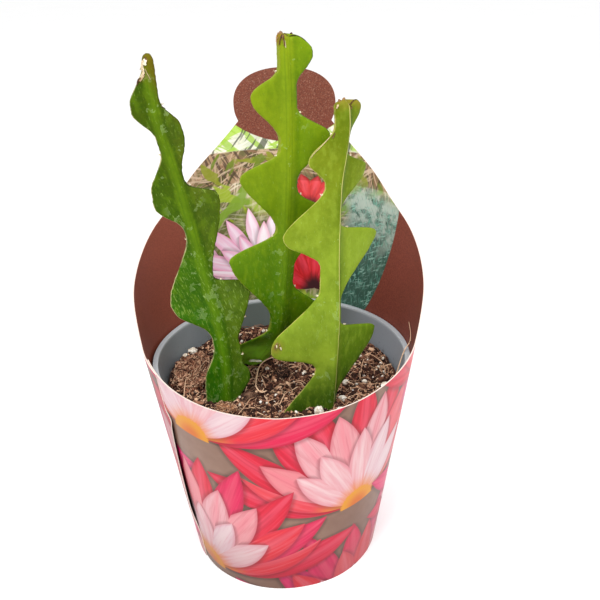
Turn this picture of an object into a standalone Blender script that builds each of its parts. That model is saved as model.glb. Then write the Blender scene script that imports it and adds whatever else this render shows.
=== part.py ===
"""Potted zigzag cactus: three rooted stem cuttings in a plastic nursery pot with a printed card sleeve.

Metres, +Z up. The origin is the middle of the pot's underside, and the front faces -Y.
Sizes below are in millimetres, and every point is scaled by MM as it is placed.
"""
import math

import bmesh
import bpy
from mathutils import Matrix, Vector, noise

MM = 0.001
CLEARANCE = 0.3
MERGE = 0.001 * MM
SHARP_ANGLE = math.radians(35)

# Nursery pot
POT_BASE_RADIUS = 42.0
POT_TAPER = 0.145
POT_WALL = 0.9
POT_FLOOR = 1.2
POT_HEIGHT = 100.0
RIM_RADIUS = 58.6
RIM_DEPTH = 5.5
LEDGE_HEIGHT = 80.0
LEDGE_STEP = 0.7
DRAIN_COUNT = 8
DRAIN_RADIUS = 3.6
DRAIN_CIRCLE = 30.0
POT_FOOT_ROUND = 1.2
RIM_EDGE = 0.6
DRAIN_SEGMENTS = 12
POT_SEGMENTS = 56

# Card sleeve: a cone of thin card, low in front, with a tall shield and a round tab behind
SLEEVE_OFFSET = -0.6
SLEEVE_BASE_RADIUS = 45.0
SLEEVE_TAPER = 0.15
CARD = 0.5
SHIELD_TURN = 3.5
# Height of the card's top edge at angles from the middle of the front round to the tab's neck
SLEEVE_EDGE = [(0, 104.3), (25, 105.4), (50, 108.6), (66, 111.3), (75, 113.6), (80, 119.5), (85, 126.5),
               (90, 131.5), (98, 137.0), (107, 143.0), (116, 149.0), (130, 158.0), (142, 169.5),
               (151, 178.0), (157, 184.5), (161.8, 190.5)]
NECK_ANGLE = 161.8
NECK_HEIGHT = 190.5
TAB_HALF_ANGLE = 19.5
TAB_MIDDLE = 198.0
TAB_RISE = 16.8
TAB_SQUARENESS = 2.3
# The tab's outline starts below the level of its middle, at this turn on its rounded curve
TAB_START = -22.0
# Columns of the card crowd together towards the shield by this share
COLUMN_CROWDING = 0.35
SLEEVE_COLUMNS = 30
TAB_COLUMNS = 9
SLEEVE_ROWS = 8
TAB_ROWS = 3
# Tuck slit: a curved cut in the left of the front, as angle from the front and height
SLIT = [(-56.2, 92.0), (-51.8, 88.2), (-52.6, 83.0), (-54.0, 75.0), (-55.5, 65.0), (-57.0, 54.5),
        (-58.3, 43.8), (-58.9, 32.0), (-58.9, 19.0)]
SLIT_WIDTH = 0.6
# The slit's cutter reaches from outside the card to inside it
SLIT_CUTTER_REACH = (-2.0, 3.0)

# Potting soil
SOIL_TOP = 87.0
SOIL_SWELL = 1.3
SOIL_GRAIN = 16.0
SOIL_FOOT_ROUND = 1.5
SOIL_SEGMENTS = 48
SOIL_RINGS = 9

# Stems. The rib is a curve of (x, y, z) points. A wing leaves it at an azimuth and an upward tilt in
# degrees, is floor wide in its notches (at the soil, at the top), and has lobes of (low end, low
# shoulder, high shoulder, high end, reach): heights on the rib, then the lobe's width.
RIB_HALF = (2.8, 1.7)
RIB_SPREAD = 3.2
WING_HALF = 1.1
STEM_FOOT = 62.0
STEM_RISE = 150.0
FOOT_ROUND = 2.0
# Half of the height over which a wing's corners are rounded
LOBE_ROUND = 2.2
STATION_STEP = 2.6
END_STEP = 0.8
AROUND = 16

LEFT_STEM = {
    "rib": [(-23, -21, 62), (-25, -20, 88), (-24.4, -19.3, 105), (-27, -18, 128),
            (-32, -17, 155), (-38, -15.5, 185), (-44.6, -14, 212), (-46.3, -13, 237)],
    "top": 236.0,
    "tip_round": 3.5,
    "wings": [
        {"azimuth": 190, "tilt": -12, "floor": (3.8, 1.8),
         "lobes": [(78, 92, 102, 113, 8.8), (121, 134.5, 140.5, 164, 16.2),
                   (169, 178, 185, 198.5, 11.4), (206, 215, 220, 231, 8.6)]},
        {"azimuth": 14, "tilt": 14, "floor": (4.0, 2.4),
         "lobes": [(83, 94, 98, 108, 11.4), (92, 101, 112, 124, 7.9), (106, 135, 139.5, 143.5, 16.6),
                   (146, 174.5, 178.5, 184.5, 14.0), (190, 202, 208, 216.5, 8.4)]},
    ],
}
MIDDLE_STEM = {
    "rib": [(-19.4, 20, 62), (-13.0, 14.5, 87), (-7.4, 7.0, 99), (-1.2, -3, 114), (1.6, -8, 142),
            (4.2, -9, 175), (5.6, -7, 210), (5.4, -5, 243)],
    "top": 241.0,
    "tip_round": 1.6,
    "wings": [
        {"azimuth": 210, "tilt": 8, "floor": (5.0, 3.2),
         "lobes": [(85, 98, 102.5, 114, 19.2), (122, 149.5, 153, 161.5, 25.2),
                   (165, 185, 187, 195, 21.4), (202, 215, 218, 227, 15.8)]},
        {"azimuth": 6, "tilt": 0, "floor": (5.4, 3.8),
         "lobes": [(103, 121, 124, 137, 19.0), (148, 166, 170, 179, 20.0),
                   (186, 199, 203, 211.5, 17.8), (223, 231.5, 235.5, 241.5, 10.8)]},
    ],
}
RIGHT_STEM = {
    "rib": [(18.4, -27, 62), (20.2, -26, 87), (21.9, -25, 105), (23.1, -23.8, 126), (23.4, -22, 158),
            (24.4, -20.3, 184), (27.6, -19, 208), (27.0, -18.4, 222)],
    "top": 218.5,
    "tip_round": 1.6,
    "wings": [
        {"azimuth": 192, "tilt": -14, "floor": (8.0, 3.4),
         "lobes": [(72, 86, 91, 106, 20.8), (109.5, 121, 127, 142, 27.2), (155, 169.5, 173, 184, 21.4),
                   (188, 198.5, 201, 207.5, 13.6)]},
        {"azimuth": 40, "tilt": 0, "floor": (4.2, 1.6),
         "lobes": [(93, 115, 118.5, 124.5, 25.0), (137, 160, 163, 167.5, 23.8), (176, 188, 192, 197, 15.0),
                   (205, 214.8, 217.2, 219.5, 9.0)]},
    ],
}

# Loose pieces on the soil: middle (x, y), half sizes (x, y, z), turn in degrees, roughness, seed,
# and how far the middle lies above the soil's mean level
LARGE_PIECE = 9.0
LUMP_GRAIN = 1.7
PIECES = {
    "coir_clod": ((-42.3, 2.0), (10.2, 14.5, 5.2), -6, 0.2, 3, 1.4),
    "small_clod": ((-24.8, -29.4), (4.8, 3.8, 3.2), 10, 0.2, 8, 1.6),
    "bark_chip": ((-13.8, -15.6), (8.4, 3.2, 2.4), 60, 0.12, 5, 0.5),
    "dark_clod": ((0.0, 1.0), (4.0, 4.0, 3.0), 0, 0.2, 12, 1.4),
    "perlite_1": ((16.0, -31.8), (2.0, 1.8, 2.4), 25, 0.16, 21, 1.7),
    "perlite_2": ((26.8, -21.0), (1.9, 1.6, 1.5), -15, 0.16, 22, 0.8),
    "perlite_3": ((25.0, -30.0), (2.2, 1.5, 1.3), 10, 0.16, 23, 0.8),
    "perlite_4": ((29.0, -7.5), (1.8, 1.5, 1.3), 60, 0.16, 24, 0.7),
    "perlite_5": ((37.6, -7.0), (1.4, 1.3, 1.2), 5, 0.16, 25, 0.6),
    "perlite_6": ((46.5, -11.0), (2.2, 1.6, 1.6), 40, 0.16, 26, 0.9),
    "perlite_7": ((-44.6, 24.6), (2.6, 2.0, 1.8), 30, 0.16, 27, 1.0),
    "perlite_8": ((-47.8, 20.2), (1.6, 1.4, 1.3), 80, 0.16, 28, 0.7),
}

# Colours, roughness and metallic value
FINISH = {
    "nursery_pot": ((0.11, 0.13, 0.14), 0.45, 0.0),
    "card_sleeve": ((0.37, 0.10, 0.11), 0.55, 0.0),
    "potting_soil": ((0.05, 0.03, 0.02), 0.95, 0.0),
    "left_stem": ((0.05, 0.15, 0.02), 0.45, 0.0),
    "middle_stem": ((0.12, 0.26, 0.02), 0.45, 0.0),
    "right_stem": ((0.24, 0.38, 0.04), 0.45, 0.0),
    "coir_clod": ((0.20, 0.12, 0.07), 0.95, 0.0),
    "small_clod": ((0.32, 0.20, 0.10), 0.95, 0.0),
    "bark_chip": ((0.06, 0.03, 0.02), 0.9, 0.0),
    "dark_clod": ((0.03, 0.02, 0.02), 0.9, 0.0),
    "perlite": ((0.80, 0.76, 0.70), 0.9, 0.0),
}


def clear_scene():
    """Remove every object that the new file starts with."""
    for thing in list(bpy.data.objects):
        bpy.data.objects.remove(thing, do_unlink=True)


def finish_material(name):
    """A Principled material with the piece's colour, roughness and metallic value."""
    colour, roughness, metallic = FINISH[name]
    material = bpy.data.materials.get(name) or bpy.data.materials.new(name)
    material.use_nodes = True
    shader = material.node_tree.nodes["Principled BSDF"]
    shader.inputs["Base Color"].default_value = (*colour, 1.0)
    shader.inputs["Roughness"].default_value = roughness
    shader.inputs["Metallic"].default_value = metallic
    return material


def add_object(name, mesh_builder, finish=None, location=(0, 0, 0), turn=0.0):
    """Turn a bmesh into an object; one without a finish is a cutter and stays out of the render."""
    mesh = bpy.data.meshes.new(name)
    mesh_builder.to_mesh(mesh)
    mesh_builder.free()
    thing = bpy.data.objects.new(name, mesh)
    bpy.context.scene.collection.objects.link(thing)
    thing.location = Vector(location) * MM
    thing.rotation_euler.z = turn
    if finish:
        mesh.materials.append(finish_material(finish))
        mesh.shade_smooth()
    else:
        thing.hide_render = True
        thing.display_type = "WIRE"
    return thing


def subtract(thing, cutter):
    """Cut one object out of another."""
    cut = thing.modifiers.new(cutter.name, "BOOLEAN")
    cut.operation = "DIFFERENCE"
    cut.solver = "EXACT"
    cut.object = cutter


def curve_through(points, at):
    """A smooth value at one place of a curve: points are (value, ..., place), in rising places."""
    places = [point[-1] for point in points]
    at = min(max(at, places[0]), places[-1])
    index = max(i for i in range(len(points) - 1) if places[i] <= at)
    before, start, end, after = (points[min(max(index + k, 0), len(points) - 1)] for k in (-1, 0, 1, 2))
    span = end[-1] - start[-1]
    t = (at - start[-1]) / span
    values = []
    for k in range(len(start) - 1):
        slope_start = (end[k] - before[k]) / (end[-1] - before[-1]) * span
        slope_end = (after[k] - start[k]) / (after[-1] - start[-1]) * span
        values.append((2 * t ** 3 - 3 * t ** 2 + 1) * start[k] + (t ** 3 - 2 * t ** 2 + t) * slope_start
                      + (3 * t ** 2 - 2 * t ** 3) * end[k] + (t ** 3 - t ** 2) * slope_end)
    return values


def mapped_grid(columns, rows, place):
    """A flat grid whose corner (column, row) is moved to place(column, row); edges that meet merge."""
    builder = bmesh.new()
    bmesh.ops.create_grid(builder, x_segments=columns, y_segments=rows, size=0.5)
    for vertex in builder.verts:
        column = round((vertex.co.x + 0.5) * columns)
        row = round((vertex.co.y + 0.5) * rows)
        vertex.co = Vector(place(column, row)) * MM
    bmesh.ops.remove_doubles(builder, verts=builder.verts, dist=MERGE)
    bmesh.ops.recalc_face_normals(builder, faces=builder.faces)
    return builder


# Nursery pot

def pot_radius(height):
    """Outer radius of the pot's wall below the ledge."""
    return POT_BASE_RADIUS + POT_TAPER * height


def nursery_pot():
    """A turned thin wall with a stacking ledge, a deep outer rim and drain holes in its floor."""
    rim_foot = POT_HEIGHT - RIM_DEPTH
    ledge_radius = pot_radius(LEDGE_HEIGHT) + LEDGE_STEP
    neck_radius = ledge_radius + POT_TAPER * (rim_foot - LEDGE_HEIGHT)
    rim_low_radius = RIM_RADIUS - SLEEVE_TAPER * RIM_DEPTH
    mouth_radius = neck_radius + POT_TAPER * RIM_DEPTH - POT_WALL
    floor_radius = POT_BASE_RADIUS - POT_WALL
    profile = [
        (0, 0),
        (POT_BASE_RADIUS - POT_FOOT_ROUND, 0),
        (POT_BASE_RADIUS, POT_FOOT_ROUND),
        (pot_radius(LEDGE_HEIGHT), LEDGE_HEIGHT),
        (ledge_radius, LEDGE_HEIGHT + LEDGE_STEP),
        (neck_radius, rim_foot),
        (rim_low_radius - RIM_EDGE, rim_foot),
        (rim_low_radius, rim_foot + RIM_EDGE),
        (RIM_RADIUS, POT_HEIGHT - RIM_EDGE),
        (RIM_RADIUS - RIM_EDGE, POT_HEIGHT),
        (mouth_radius + RIM_EDGE, POT_HEIGHT),
        (mouth_radius, POT_HEIGHT - RIM_EDGE),
        (ledge_radius - POT_WALL, LEDGE_HEIGHT + LEDGE_STEP),
        (pot_radius(LEDGE_HEIGHT) - POT_WALL, LEDGE_HEIGHT),
        (floor_radius, POT_FLOOR + POT_FOOT_ROUND),
        (floor_radius - POT_FOOT_ROUND, POT_FLOOR),
        (0, POT_FLOOR),
    ]

    def place(column, row):
        radius, height = profile[row]
        turn = 2 * math.pi * column / POT_SEGMENTS
        return radius * math.cos(turn), radius * math.sin(turn), height

    pot = add_object("nursery_pot", mapped_grid(POT_SEGMENTS, len(profile) - 1, place), "nursery_pot")
    pot.data.set_sharp_from_angle(angle=SHARP_ANGLE)
    holes = bmesh.new()
    for index in range(DRAIN_COUNT):
        turn = Matrix.Rotation(2 * math.pi * index / DRAIN_COUNT, 4, "Z")
        shift = Matrix.Translation((DRAIN_CIRCLE * MM, 0, POT_FLOOR / 2 * MM))
        bmesh.ops.create_cone(holes, cap_ends=True, segments=DRAIN_SEGMENTS, radius1=DRAIN_RADIUS * MM,
                              radius2=DRAIN_RADIUS * MM, depth=4 * POT_FLOOR * MM, matrix=turn @ shift)
    subtract(pot, add_object("drain_hole_cutter", holes))
    return pot


# Card sleeve

def sleeve_point(angle, height, inward=0.0):
    """A point of the card at an angle in degrees from the front, counted positive towards +X."""
    turn = math.radians(angle)
    skew = math.radians(SHIELD_TURN) * (1 - math.cos(turn)) / 2
    radius = SLEEVE_BASE_RADIUS + SLEEVE_TAPER * height - inward
    return (SLEEVE_OFFSET + radius * math.sin(turn - skew), -radius * math.cos(turn - skew), height)


def sleeve_outline():
    """Top edge of half the card, as (angle, height, angle of the column's foot)."""
    outline = []
    points = [(height, angle) for angle, height in SLEEVE_EDGE]
    for index in range(SLEEVE_COLUMNS + 1):
        share = index / SLEEVE_COLUMNS
        angle = NECK_ANGLE * share * (1 + COLUMN_CROWDING * (1 - share))
        outline.append((angle, curve_through(points, angle)[0], angle))
    for index in range(1, TAB_COLUMNS + 1):
        share = index / TAB_COLUMNS
        turn = math.radians(TAB_START + (90 - TAB_START) * share)
        across = math.copysign(abs(math.cos(turn)) ** (2 / TAB_SQUARENESS), math.cos(turn))
        rise = math.copysign(abs(math.sin(turn)) ** (2 / TAB_SQUARENESS), math.sin(turn))
        foot = NECK_ANGLE + (180 - NECK_ANGLE) * share
        outline.append((180 - TAB_HALF_ANGLE * across, TAB_MIDDLE + TAB_RISE * rise, foot))
    return outline


def card_sleeve():
    """One sheet of card, wound to a cone, thickened inwards, with its tuck slit cut through."""
    half = sleeve_outline()
    outline = [(-angle, height, -foot) for angle, height, foot in reversed(half)] + half[1:]

    def place(column, row):
        angle, top, foot = outline[column]
        shoulder = min(top, NECK_HEIGHT)
        if row <= SLEEVE_ROWS:
            return sleeve_point(foot, shoulder * row / SLEEVE_ROWS)
        share = (row - SLEEVE_ROWS) / TAB_ROWS
        return sleeve_point(foot + (angle - foot) * share, shoulder + (top - shoulder) * share)

    rows = SLEEVE_ROWS + TAB_ROWS
    sleeve = add_object("card_sleeve", mapped_grid(len(outline) - 1, rows, place), "card_sleeve")
    sleeve.data.set_sharp_from_angle(angle=SHARP_ANGLE)
    card = sleeve.modifiers.new("card", "SOLIDIFY")
    card.thickness = CARD * MM
    card.offset = -1
    card.use_even_offset = True

    def slit_place(column, row):
        angle, height = SLIT[column]
        side = 1 if row in (1, 2) else -1
        depth = SLIT_CUTTER_REACH[0] if row in (2, 3) else SLIT_CUTTER_REACH[1]
        sideways = math.degrees(SLIT_WIDTH / 2 / SLEEVE_BASE_RADIUS) * side
        return sleeve_point(angle + sideways, height, depth)

    slit = mapped_grid(len(SLIT) - 1, 4, slit_place)
    bmesh.ops.holes_fill(slit, edges=slit.edges)
    bmesh.ops.recalc_face_normals(slit, faces=slit.faces)
    subtract(sleeve, add_object("slit_cutter", slit))
    return sleeve


# Stems

def flank(share):
    """Rise of a lobe's edge from its notch (0) to its shoulder (1)."""
    return 0.5 * share + 0.25 * (1 - math.cos(math.pi * share))


def tapered(pair, height):
    """A size given as (at the soil, at the top) for a height on the stem."""
    share = min(1.0, max(0.0, (height - SOIL_TOP) / STEM_RISE))
    return pair[0] + (pair[1] - pair[0]) * share


def sharp_reach(wing, height):
    """Width of a wing at a height on its rib, before its corners are rounded."""
    floor = tapered(wing["floor"], height)
    reach = floor
    for low, low_shoulder, high_shoulder, high, lobe in wing["lobes"]:
        if low < height < high:
            rise = min(1.0, (height - low) / (low_shoulder - low), (high - height) / (high - high_shoulder))
            reach = max(reach, floor + (lobe - floor) * flank(rise))
    return reach


def wing_reach(wing, height):
    """Width of a wing at a height on its rib, with rounded shoulders and notches."""
    return sum(share * sharp_reach(wing, height + shift * LOBE_ROUND) for shift, share in
               ((-1, 0.15), (-0.5, 0.22), (0, 0.26), (0.5, 0.22), (1, 0.15)))


def stem_point(stem, height, around, grow):
    """A point of the stem's skin: around runs 0 to 1 from the front of the rib by the first wing's
    margin, the back of the rib and the second wing's margin, back to the front."""
    x, y = curve_through(stem["rib"], height)
    rounding = 1.0
    tip = stem["tip_round"]
    if height > stem["top"] - tip:
        rounding = math.sqrt(max(0.0, 1 - ((height - stem["top"] + tip) / tip) ** 2))
    if height < STEM_FOOT + FOOT_ROUND and not grow:
        rounding = math.sqrt(max(0.0, 1 - ((STEM_FOOT + FOOT_ROUND - height) / FOOT_ROUND) ** 2))
    first, second = stem["wings"]
    wing = first if around <= 0.5 else second
    front = around < 0.25 or around > 0.75
    quarter = (around % 0.5) * 4
    out = math.sin(math.pi / 2 * (quarter if quarter <= 1 else 2 - quarter))
    reach = wing_reach(wing, height) * out * rounding
    rib = tapered(RIB_HALF, height)
    ridge = rib * math.exp(-(reach / RIB_SPREAD) ** 2)
    half = (ridge + WING_HALF * math.sqrt(1 - out ** 4) + grow * (1 - out ** 8)) * rounding
    azimuth = math.radians(wing["azimuth"])
    other = math.radians((second if wing is first else first)["azimuth"])
    along = Vector((math.cos(azimuth), math.sin(azimuth), math.tan(math.radians(wing["tilt"]))))
    normal = Vector((math.sin(azimuth), -math.cos(azimuth), 0))
    normal *= 1 if normal.y < 0 else -1
    shared = Vector((math.sin(other), -math.cos(other), 0))
    shared *= 1 if shared.y < 0 else -1
    blend = min(1.0, reach / (2 * rib))
    reach += grow * out
    normal = (normal + (shared - normal) * 0.5 * (1 - blend)).normalized()
    side = half if front else -half
    return Vector((x, y, height)) + along * reach + normal * side


def stem_solid(name, stem, grow, finish=None):
    """One whole stem as a closed skin, or, grown by the clearance, the pocket that it stands in."""
    count = round((stem["top"] - STEM_FOOT) / STATION_STEP)
    low, high = STEM_FOOT - grow, stem["top"] + grow
    first, last = STEM_FOOT + END_STEP, stem["top"] - END_STEP
    heights = [first + (last - first) * index / (count - 1) for index in range(count)]
    if grow:
        heights.insert(0, low)
    rows = len(heights) + 1

    def place(column, row):
        if row in (0, rows):
            height = low if row == 0 else high
            x, y = curve_through(stem["rib"], height)
            return x, y, height
        return stem_point(stem, heights[row - 1], (column % AROUND) / AROUND, grow)

    return add_object(name, mapped_grid(AROUND, rows, place), finish)


# Soil and the loose pieces on it

def soil_height(x, y):
    """Uneven top of the soil."""
    swell = noise.fractal(Vector((x / SOIL_GRAIN, y / SOIL_GRAIN, 0.7)), 0.6, 2.0, 3)
    return SOIL_TOP + SOIL_SWELL * swell


def lump(name, piece, grow, finish=None):
    """A rough lump on the soil, or, grown by the clearance, the dent that it lies in."""
    (x, y), half, degrees, rough, seed, rise = piece
    builder = bmesh.new()
    bmesh.ops.create_icosphere(builder, subdivisions=3 if max(half) > LARGE_PIECE else 2, radius=1.0)
    for vertex in builder.verts:
        direction = vertex.co.normalized()
        swell = 1 + rough * noise.noise(direction * LUMP_GRAIN + Vector((seed, 0, 0)))
        vertex.co = Vector([direction[k] * (half[k] * swell + grow) for k in range(3)]) * MM
    bmesh.ops.recalc_face_normals(builder, faces=builder.faces)
    return add_object(name, builder, finish, (x, y, SOIL_TOP + rise), math.radians(degrees))


def potting_soil():
    """A plug of soil that fills the pot to below its rim, with pockets for all that stands in it."""
    inset = POT_WALL + CLEARANCE
    foot_height = POT_FLOOR + CLEARANCE
    side_height = foot_height + SOIL_FOOT_ROUND
    side_radius = POT_BASE_RADIUS - inset
    profile = [(0, foot_height), (side_radius - SOIL_FOOT_ROUND, foot_height), (side_radius, side_height),
               (pot_radius(LEDGE_HEIGHT) - inset, LEDGE_HEIGHT)]
    top_radius = pot_radius(LEDGE_HEIGHT) - inset + POT_TAPER * (SOIL_TOP - SOIL_SWELL - LEDGE_HEIGHT)
    rows = len(profile) + SOIL_RINGS

    def place(column, row):
        turn = 2 * math.pi * (column % SOIL_SEGMENTS) / SOIL_SEGMENTS
        if row < len(profile):
            radius, height = profile[row]
            return radius * math.cos(turn), radius * math.sin(turn), height
        radius = top_radius * (rows - row) / SOIL_RINGS
        x, y = radius * math.cos(turn), radius * math.sin(turn)
        return x, y, soil_height(x, y)

    return add_object("potting_soil", mapped_grid(SOIL_SEGMENTS, rows, place), "potting_soil")


def main():
    clear_scene()
    nursery_pot()
    card_sleeve()
    soil = potting_soil()
    for name, stem in (("left_stem", LEFT_STEM), ("middle_stem", MIDDLE_STEM), ("right_stem", RIGHT_STEM)):
        stem_solid(name, stem, 0.0, name)
        subtract(soil, stem_solid(name + "_pocket", stem, CLEARANCE))
    for name, piece in PIECES.items():
        lump(name, piece, 0.0, "perlite" if name.startswith("perlite") else name)
        subtract(soil, lump(name + "_dent", piece, CLEARANCE))
    plant = bpy.data.objects.new("potted_cactus", None)
    bpy.context.scene.collection.objects.link(plant)
    for thing in bpy.data.objects:
        if thing != plant:
            thing.parent = plant


main()
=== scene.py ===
"""Potted zigzag cactus: three rooted cuttings in a nursery pot, inside a printed card sleeve.

Metres, +Z up, the front faces -Y. Sizes below are in millimetres and are scaled by MM as they are placed.
"""
import math
import random

import bmesh
import bpy
from mathutils import Matrix, Vector, noise


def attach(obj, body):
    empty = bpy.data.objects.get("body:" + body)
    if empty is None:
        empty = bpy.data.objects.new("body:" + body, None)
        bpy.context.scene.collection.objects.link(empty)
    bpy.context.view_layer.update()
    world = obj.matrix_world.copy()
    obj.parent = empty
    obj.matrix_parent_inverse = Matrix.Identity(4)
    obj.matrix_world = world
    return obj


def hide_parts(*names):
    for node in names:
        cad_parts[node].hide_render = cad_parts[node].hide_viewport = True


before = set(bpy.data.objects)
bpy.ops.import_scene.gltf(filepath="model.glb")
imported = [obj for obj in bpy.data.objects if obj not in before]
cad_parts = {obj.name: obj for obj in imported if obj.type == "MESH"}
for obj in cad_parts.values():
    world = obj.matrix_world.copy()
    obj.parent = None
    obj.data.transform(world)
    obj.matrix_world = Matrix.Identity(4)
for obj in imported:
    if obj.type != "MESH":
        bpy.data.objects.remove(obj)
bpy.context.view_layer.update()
MM = 0.001

# Studio
# A plain pale floor under broad, soft and even light, seen from the photograph's place.
# The camera stands a little right of the middle and looks down by about 26 degrees.
CAMERA_PLACE = (9.0, -321.0, 281.3)
CAMERA_PITCH, CAMERA_ROLL = 64.25, -1.33
CAMERA_LENS, CAMERA_SENSOR = 48.0, 36.0
FLOOR_RADIUS, FLOOR_DROP = 12000.0, 0.1
SKY_STRENGTH = 1.04
# Place, target, side length and power of each soft light: a broad one high on the left of the front, a
# weaker one on the right, and a faint low one that reaches under the stems
SOFT_LIGHTS = [((-230, -430, 900), (0, 0, 110), 380, 5.2), ((330, -330, 760), (-30, 0, 140), 320, 2.4),
               ((20, -620, 240), (0, 0, 110), 260, 0.62)]


class Wire:
    """A node's output. Arithmetic written with it adds Math nodes to the same material."""

    def __init__(self, finish, socket):
        self.finish, self.socket = finish, socket

    def math(self, operation, *others):
        """A Math node on this value and others."""
        return self.finish.node("Math", {"operation": operation}, self, *others)

    def __add__(self, other):
        return self.math("ADD", other)

    def __sub__(self, other):
        return self.math("SUBTRACT", other)

    def __rsub__(self, other):
        return self.finish.node("Math", {"operation": "SUBTRACT"}, other, self)

    def __mul__(self, other):
        return self.math("MULTIPLY", other)

    def __truediv__(self, other):
        return self.math("DIVIDE", other)

    def __pow__(self, other):
        return self.math("POWER", other)

    def __abs__(self):
        return self.math("ABSOLUTE")

    __radd__, __rmul__ = __add__, __mul__

    def rise(self, low, high):
        """0 below one value, 1 above the other, and a smooth rise between them."""
        return self.finish.node("MapRange", {"interpolation_type": "SMOOTHSTEP"}, self, low, high, 0.0, 1.0)

    def painted(self, share, colour, way="MIX"):
        """This colour with another one painted over it by a share."""
        return self.finish.mix(share, self, colour, way)


class Finish:
    """A material on the Principled shader. Values that are the same all over sit on the shader itself."""

    def __init__(self, name, **constants):
        self.material = bpy.data.materials.new(name)
        self.material.use_nodes = True
        self.tree = self.material.node_tree
        self.shader = self.tree.nodes["Principled BSDF"]
        for socket, value in constants.items():
            self.shader.inputs[socket.replace("_", " ")].default_value = value

    def node(self, kind, settings, *values, out=0, **named):
        """Any node: its type, its settings, and the values or wires of its sockets."""
        made = self.tree.nodes.new("ShaderNode" + kind)
        for setting, value in settings.items():
            if setting == "stops":
                ramp = made.color_ramp
                while len(ramp.elements) < len(value):
                    ramp.elements.new(1.0)
                for element, (place, colour) in zip(ramp.elements, value):
                    element.position, element.color = place, colour
            else:
                setattr(made, setting, value)
        sockets = list(zip(made.inputs, values))
        sockets += [(made.inputs[name.replace("_", " ")], value) for name, value in named.items()]
        for socket, value in sockets:
            if isinstance(value, Wire):
                self.tree.links.new(value.socket, socket)
            elif value is not None:
                socket.default_value = value
        return Wire(self, made.outputs[out])

    def mix(self, factor, one, other, way="MIX"):
        """Two colours mixed by a factor."""
        return self.node("Mix", {"data_type": "RGBA", "blend_type": way}, factor, None, None, None, None,
                         None, one, other, out=2)

    def grain(self, scale, detail=2.0, stretch=(1, 1, 1), rough=0.5, where=None):
        """Noise at so many waves per metre, on the object's own coordinates or on others."""
        where = where or self.place()
        if stretch != (1, 1, 1):
            where = self.node("VectorMath", {"operation": "MULTIPLY"}, where, stretch)
        return self.node("TexNoise", {}, Vector=where, Scale=scale, Detail=detail, Roughness=rough)

    def place(self):
        """The object's own coordinates."""
        return self.node("TexCoord", {}, out=3)

    def tag(self, name, out=1):
        """What a mesh carries under a name: a vector, or with out=2 a number."""
        return self.node("Attribute", {"attribute_name": name}, out=out)

    def parts(self, vector, count=3):
        """The first few numbers of a vector."""
        return [self.node("SeparateXYZ", {}, vector, out=k) for k in range(count)]

    def joined(self, *numbers):
        """A vector of three numbers."""
        return self.node("CombineXYZ", {}, *numbers)

    def wear(self, **wires):
        """Link wires to the shader's sockets."""
        for name, wire in wires.items():
            self.tree.links.new(wire.socket, self.shader.inputs[name.replace("_", " ")])

    def emboss(self, height, distance, strength=1.0):
        """A bump of so many millimetres from a height between 0 and 1."""
        return self.node("Bump", {}, Strength=strength, Distance=distance * MM, Height=height)


def piece(name, builder, *finishes):
    """Turn a bmesh into a finished, smoothly shaded object with its materials."""
    mesh = bpy.data.meshes.new(name)
    builder.to_mesh(mesh)
    builder.free()
    thing = bpy.data.objects.new(name, mesh)
    bpy.context.scene.collection.objects.link(thing)
    for finish in finishes:
        mesh.materials.append(finish.material)
    mesh.shade_smooth()
    return thing


studio_camera = bpy.data.objects.new("studio_camera", bpy.data.cameras.new("studio_camera"))
bpy.context.scene.collection.objects.link(studio_camera)
studio_camera.data.lens = CAMERA_LENS
studio_camera.data.sensor_width = CAMERA_SENSOR
studio_camera.location = Vector(CAMERA_PLACE) * MM
studio_camera.rotation_mode = "ZYX"
studio_camera.rotation_euler = (math.radians(CAMERA_PITCH), 0, math.radians(CAMERA_ROLL))
bpy.context.scene.camera = studio_camera
bpy.context.scene.view_settings.view_transform = "Standard"

sky = bpy.data.worlds.new("studio_sky")
sky.use_nodes = True
sky.node_tree.nodes["Background"].inputs["Color"].default_value = (1.0, 1.0, 1.0, 1.0)
sky.node_tree.nodes["Background"].inputs["Strength"].default_value = SKY_STRENGTH
bpy.context.scene.world = sky
for place, target, side, power in SOFT_LIGHTS:
    lamp = bpy.data.lights.new("soft_light", "AREA")
    lamp.size, lamp.energy = side * MM, power
    light = bpy.data.objects.new("soft_light", lamp)
    bpy.context.scene.collection.objects.link(light)
    light.location = Vector(place) * MM
    light.rotation_euler = (Vector(target) - Vector(place)).to_track_quat("-Z", "Y").to_euler()

floor_finish = Finish("pale_floor", Roughness=0.9)
floor_finish.wear(Base_Color=floor_finish.mix(floor_finish.grain(9.0), (0.93, 0.93, 0.93, 1.0),
                                              (0.96, 0.96, 0.96, 1.0)))
floor_mesh = bmesh.new()
bmesh.ops.create_circle(floor_mesh, cap_ends=True, segments=96, radius=FLOOR_RADIUS * MM)
bmesh.ops.translate(floor_mesh, verts=floor_mesh.verts, vec=(0, 0, -FLOOR_DROP * MM))
studio_floor = piece("studio_floor", floor_mesh, floor_finish)

# Nursery pot
# Injection-moulded grey polypropylene: a thin tapered wall with a stacking ledge, a deep turned-down
# rim and eight drain holes. The card sleeve hides all but the inside above the soil and the underside.
POT_BASE_RADIUS = 42.0
POT_TAPER = 0.145
POT_WALL = 0.9
POT_FLOOR = 1.2
POT_HEIGHT = 100.0
RIM_RADIUS = 58.6
RIM_DEPTH = 5.5
RIM_LIP = 1.1
LEDGE_HEIGHT = 80.0
LEDGE_STEP = 0.7
FOOT_ROUND = 1.2
GROOVE_RADIUS, GROOVE_DEPTH = 16.0, 0.35
GATE_RADIUS, GATE_DEPTH = 2.4, 0.5
POT_STEPS = 180
POT_EDGE_ROUND = 0.28
DRAIN_COUNT, DRAIN_RADIUS, DRAIN_CIRCLE = 8, 3.6, 30.0


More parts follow.
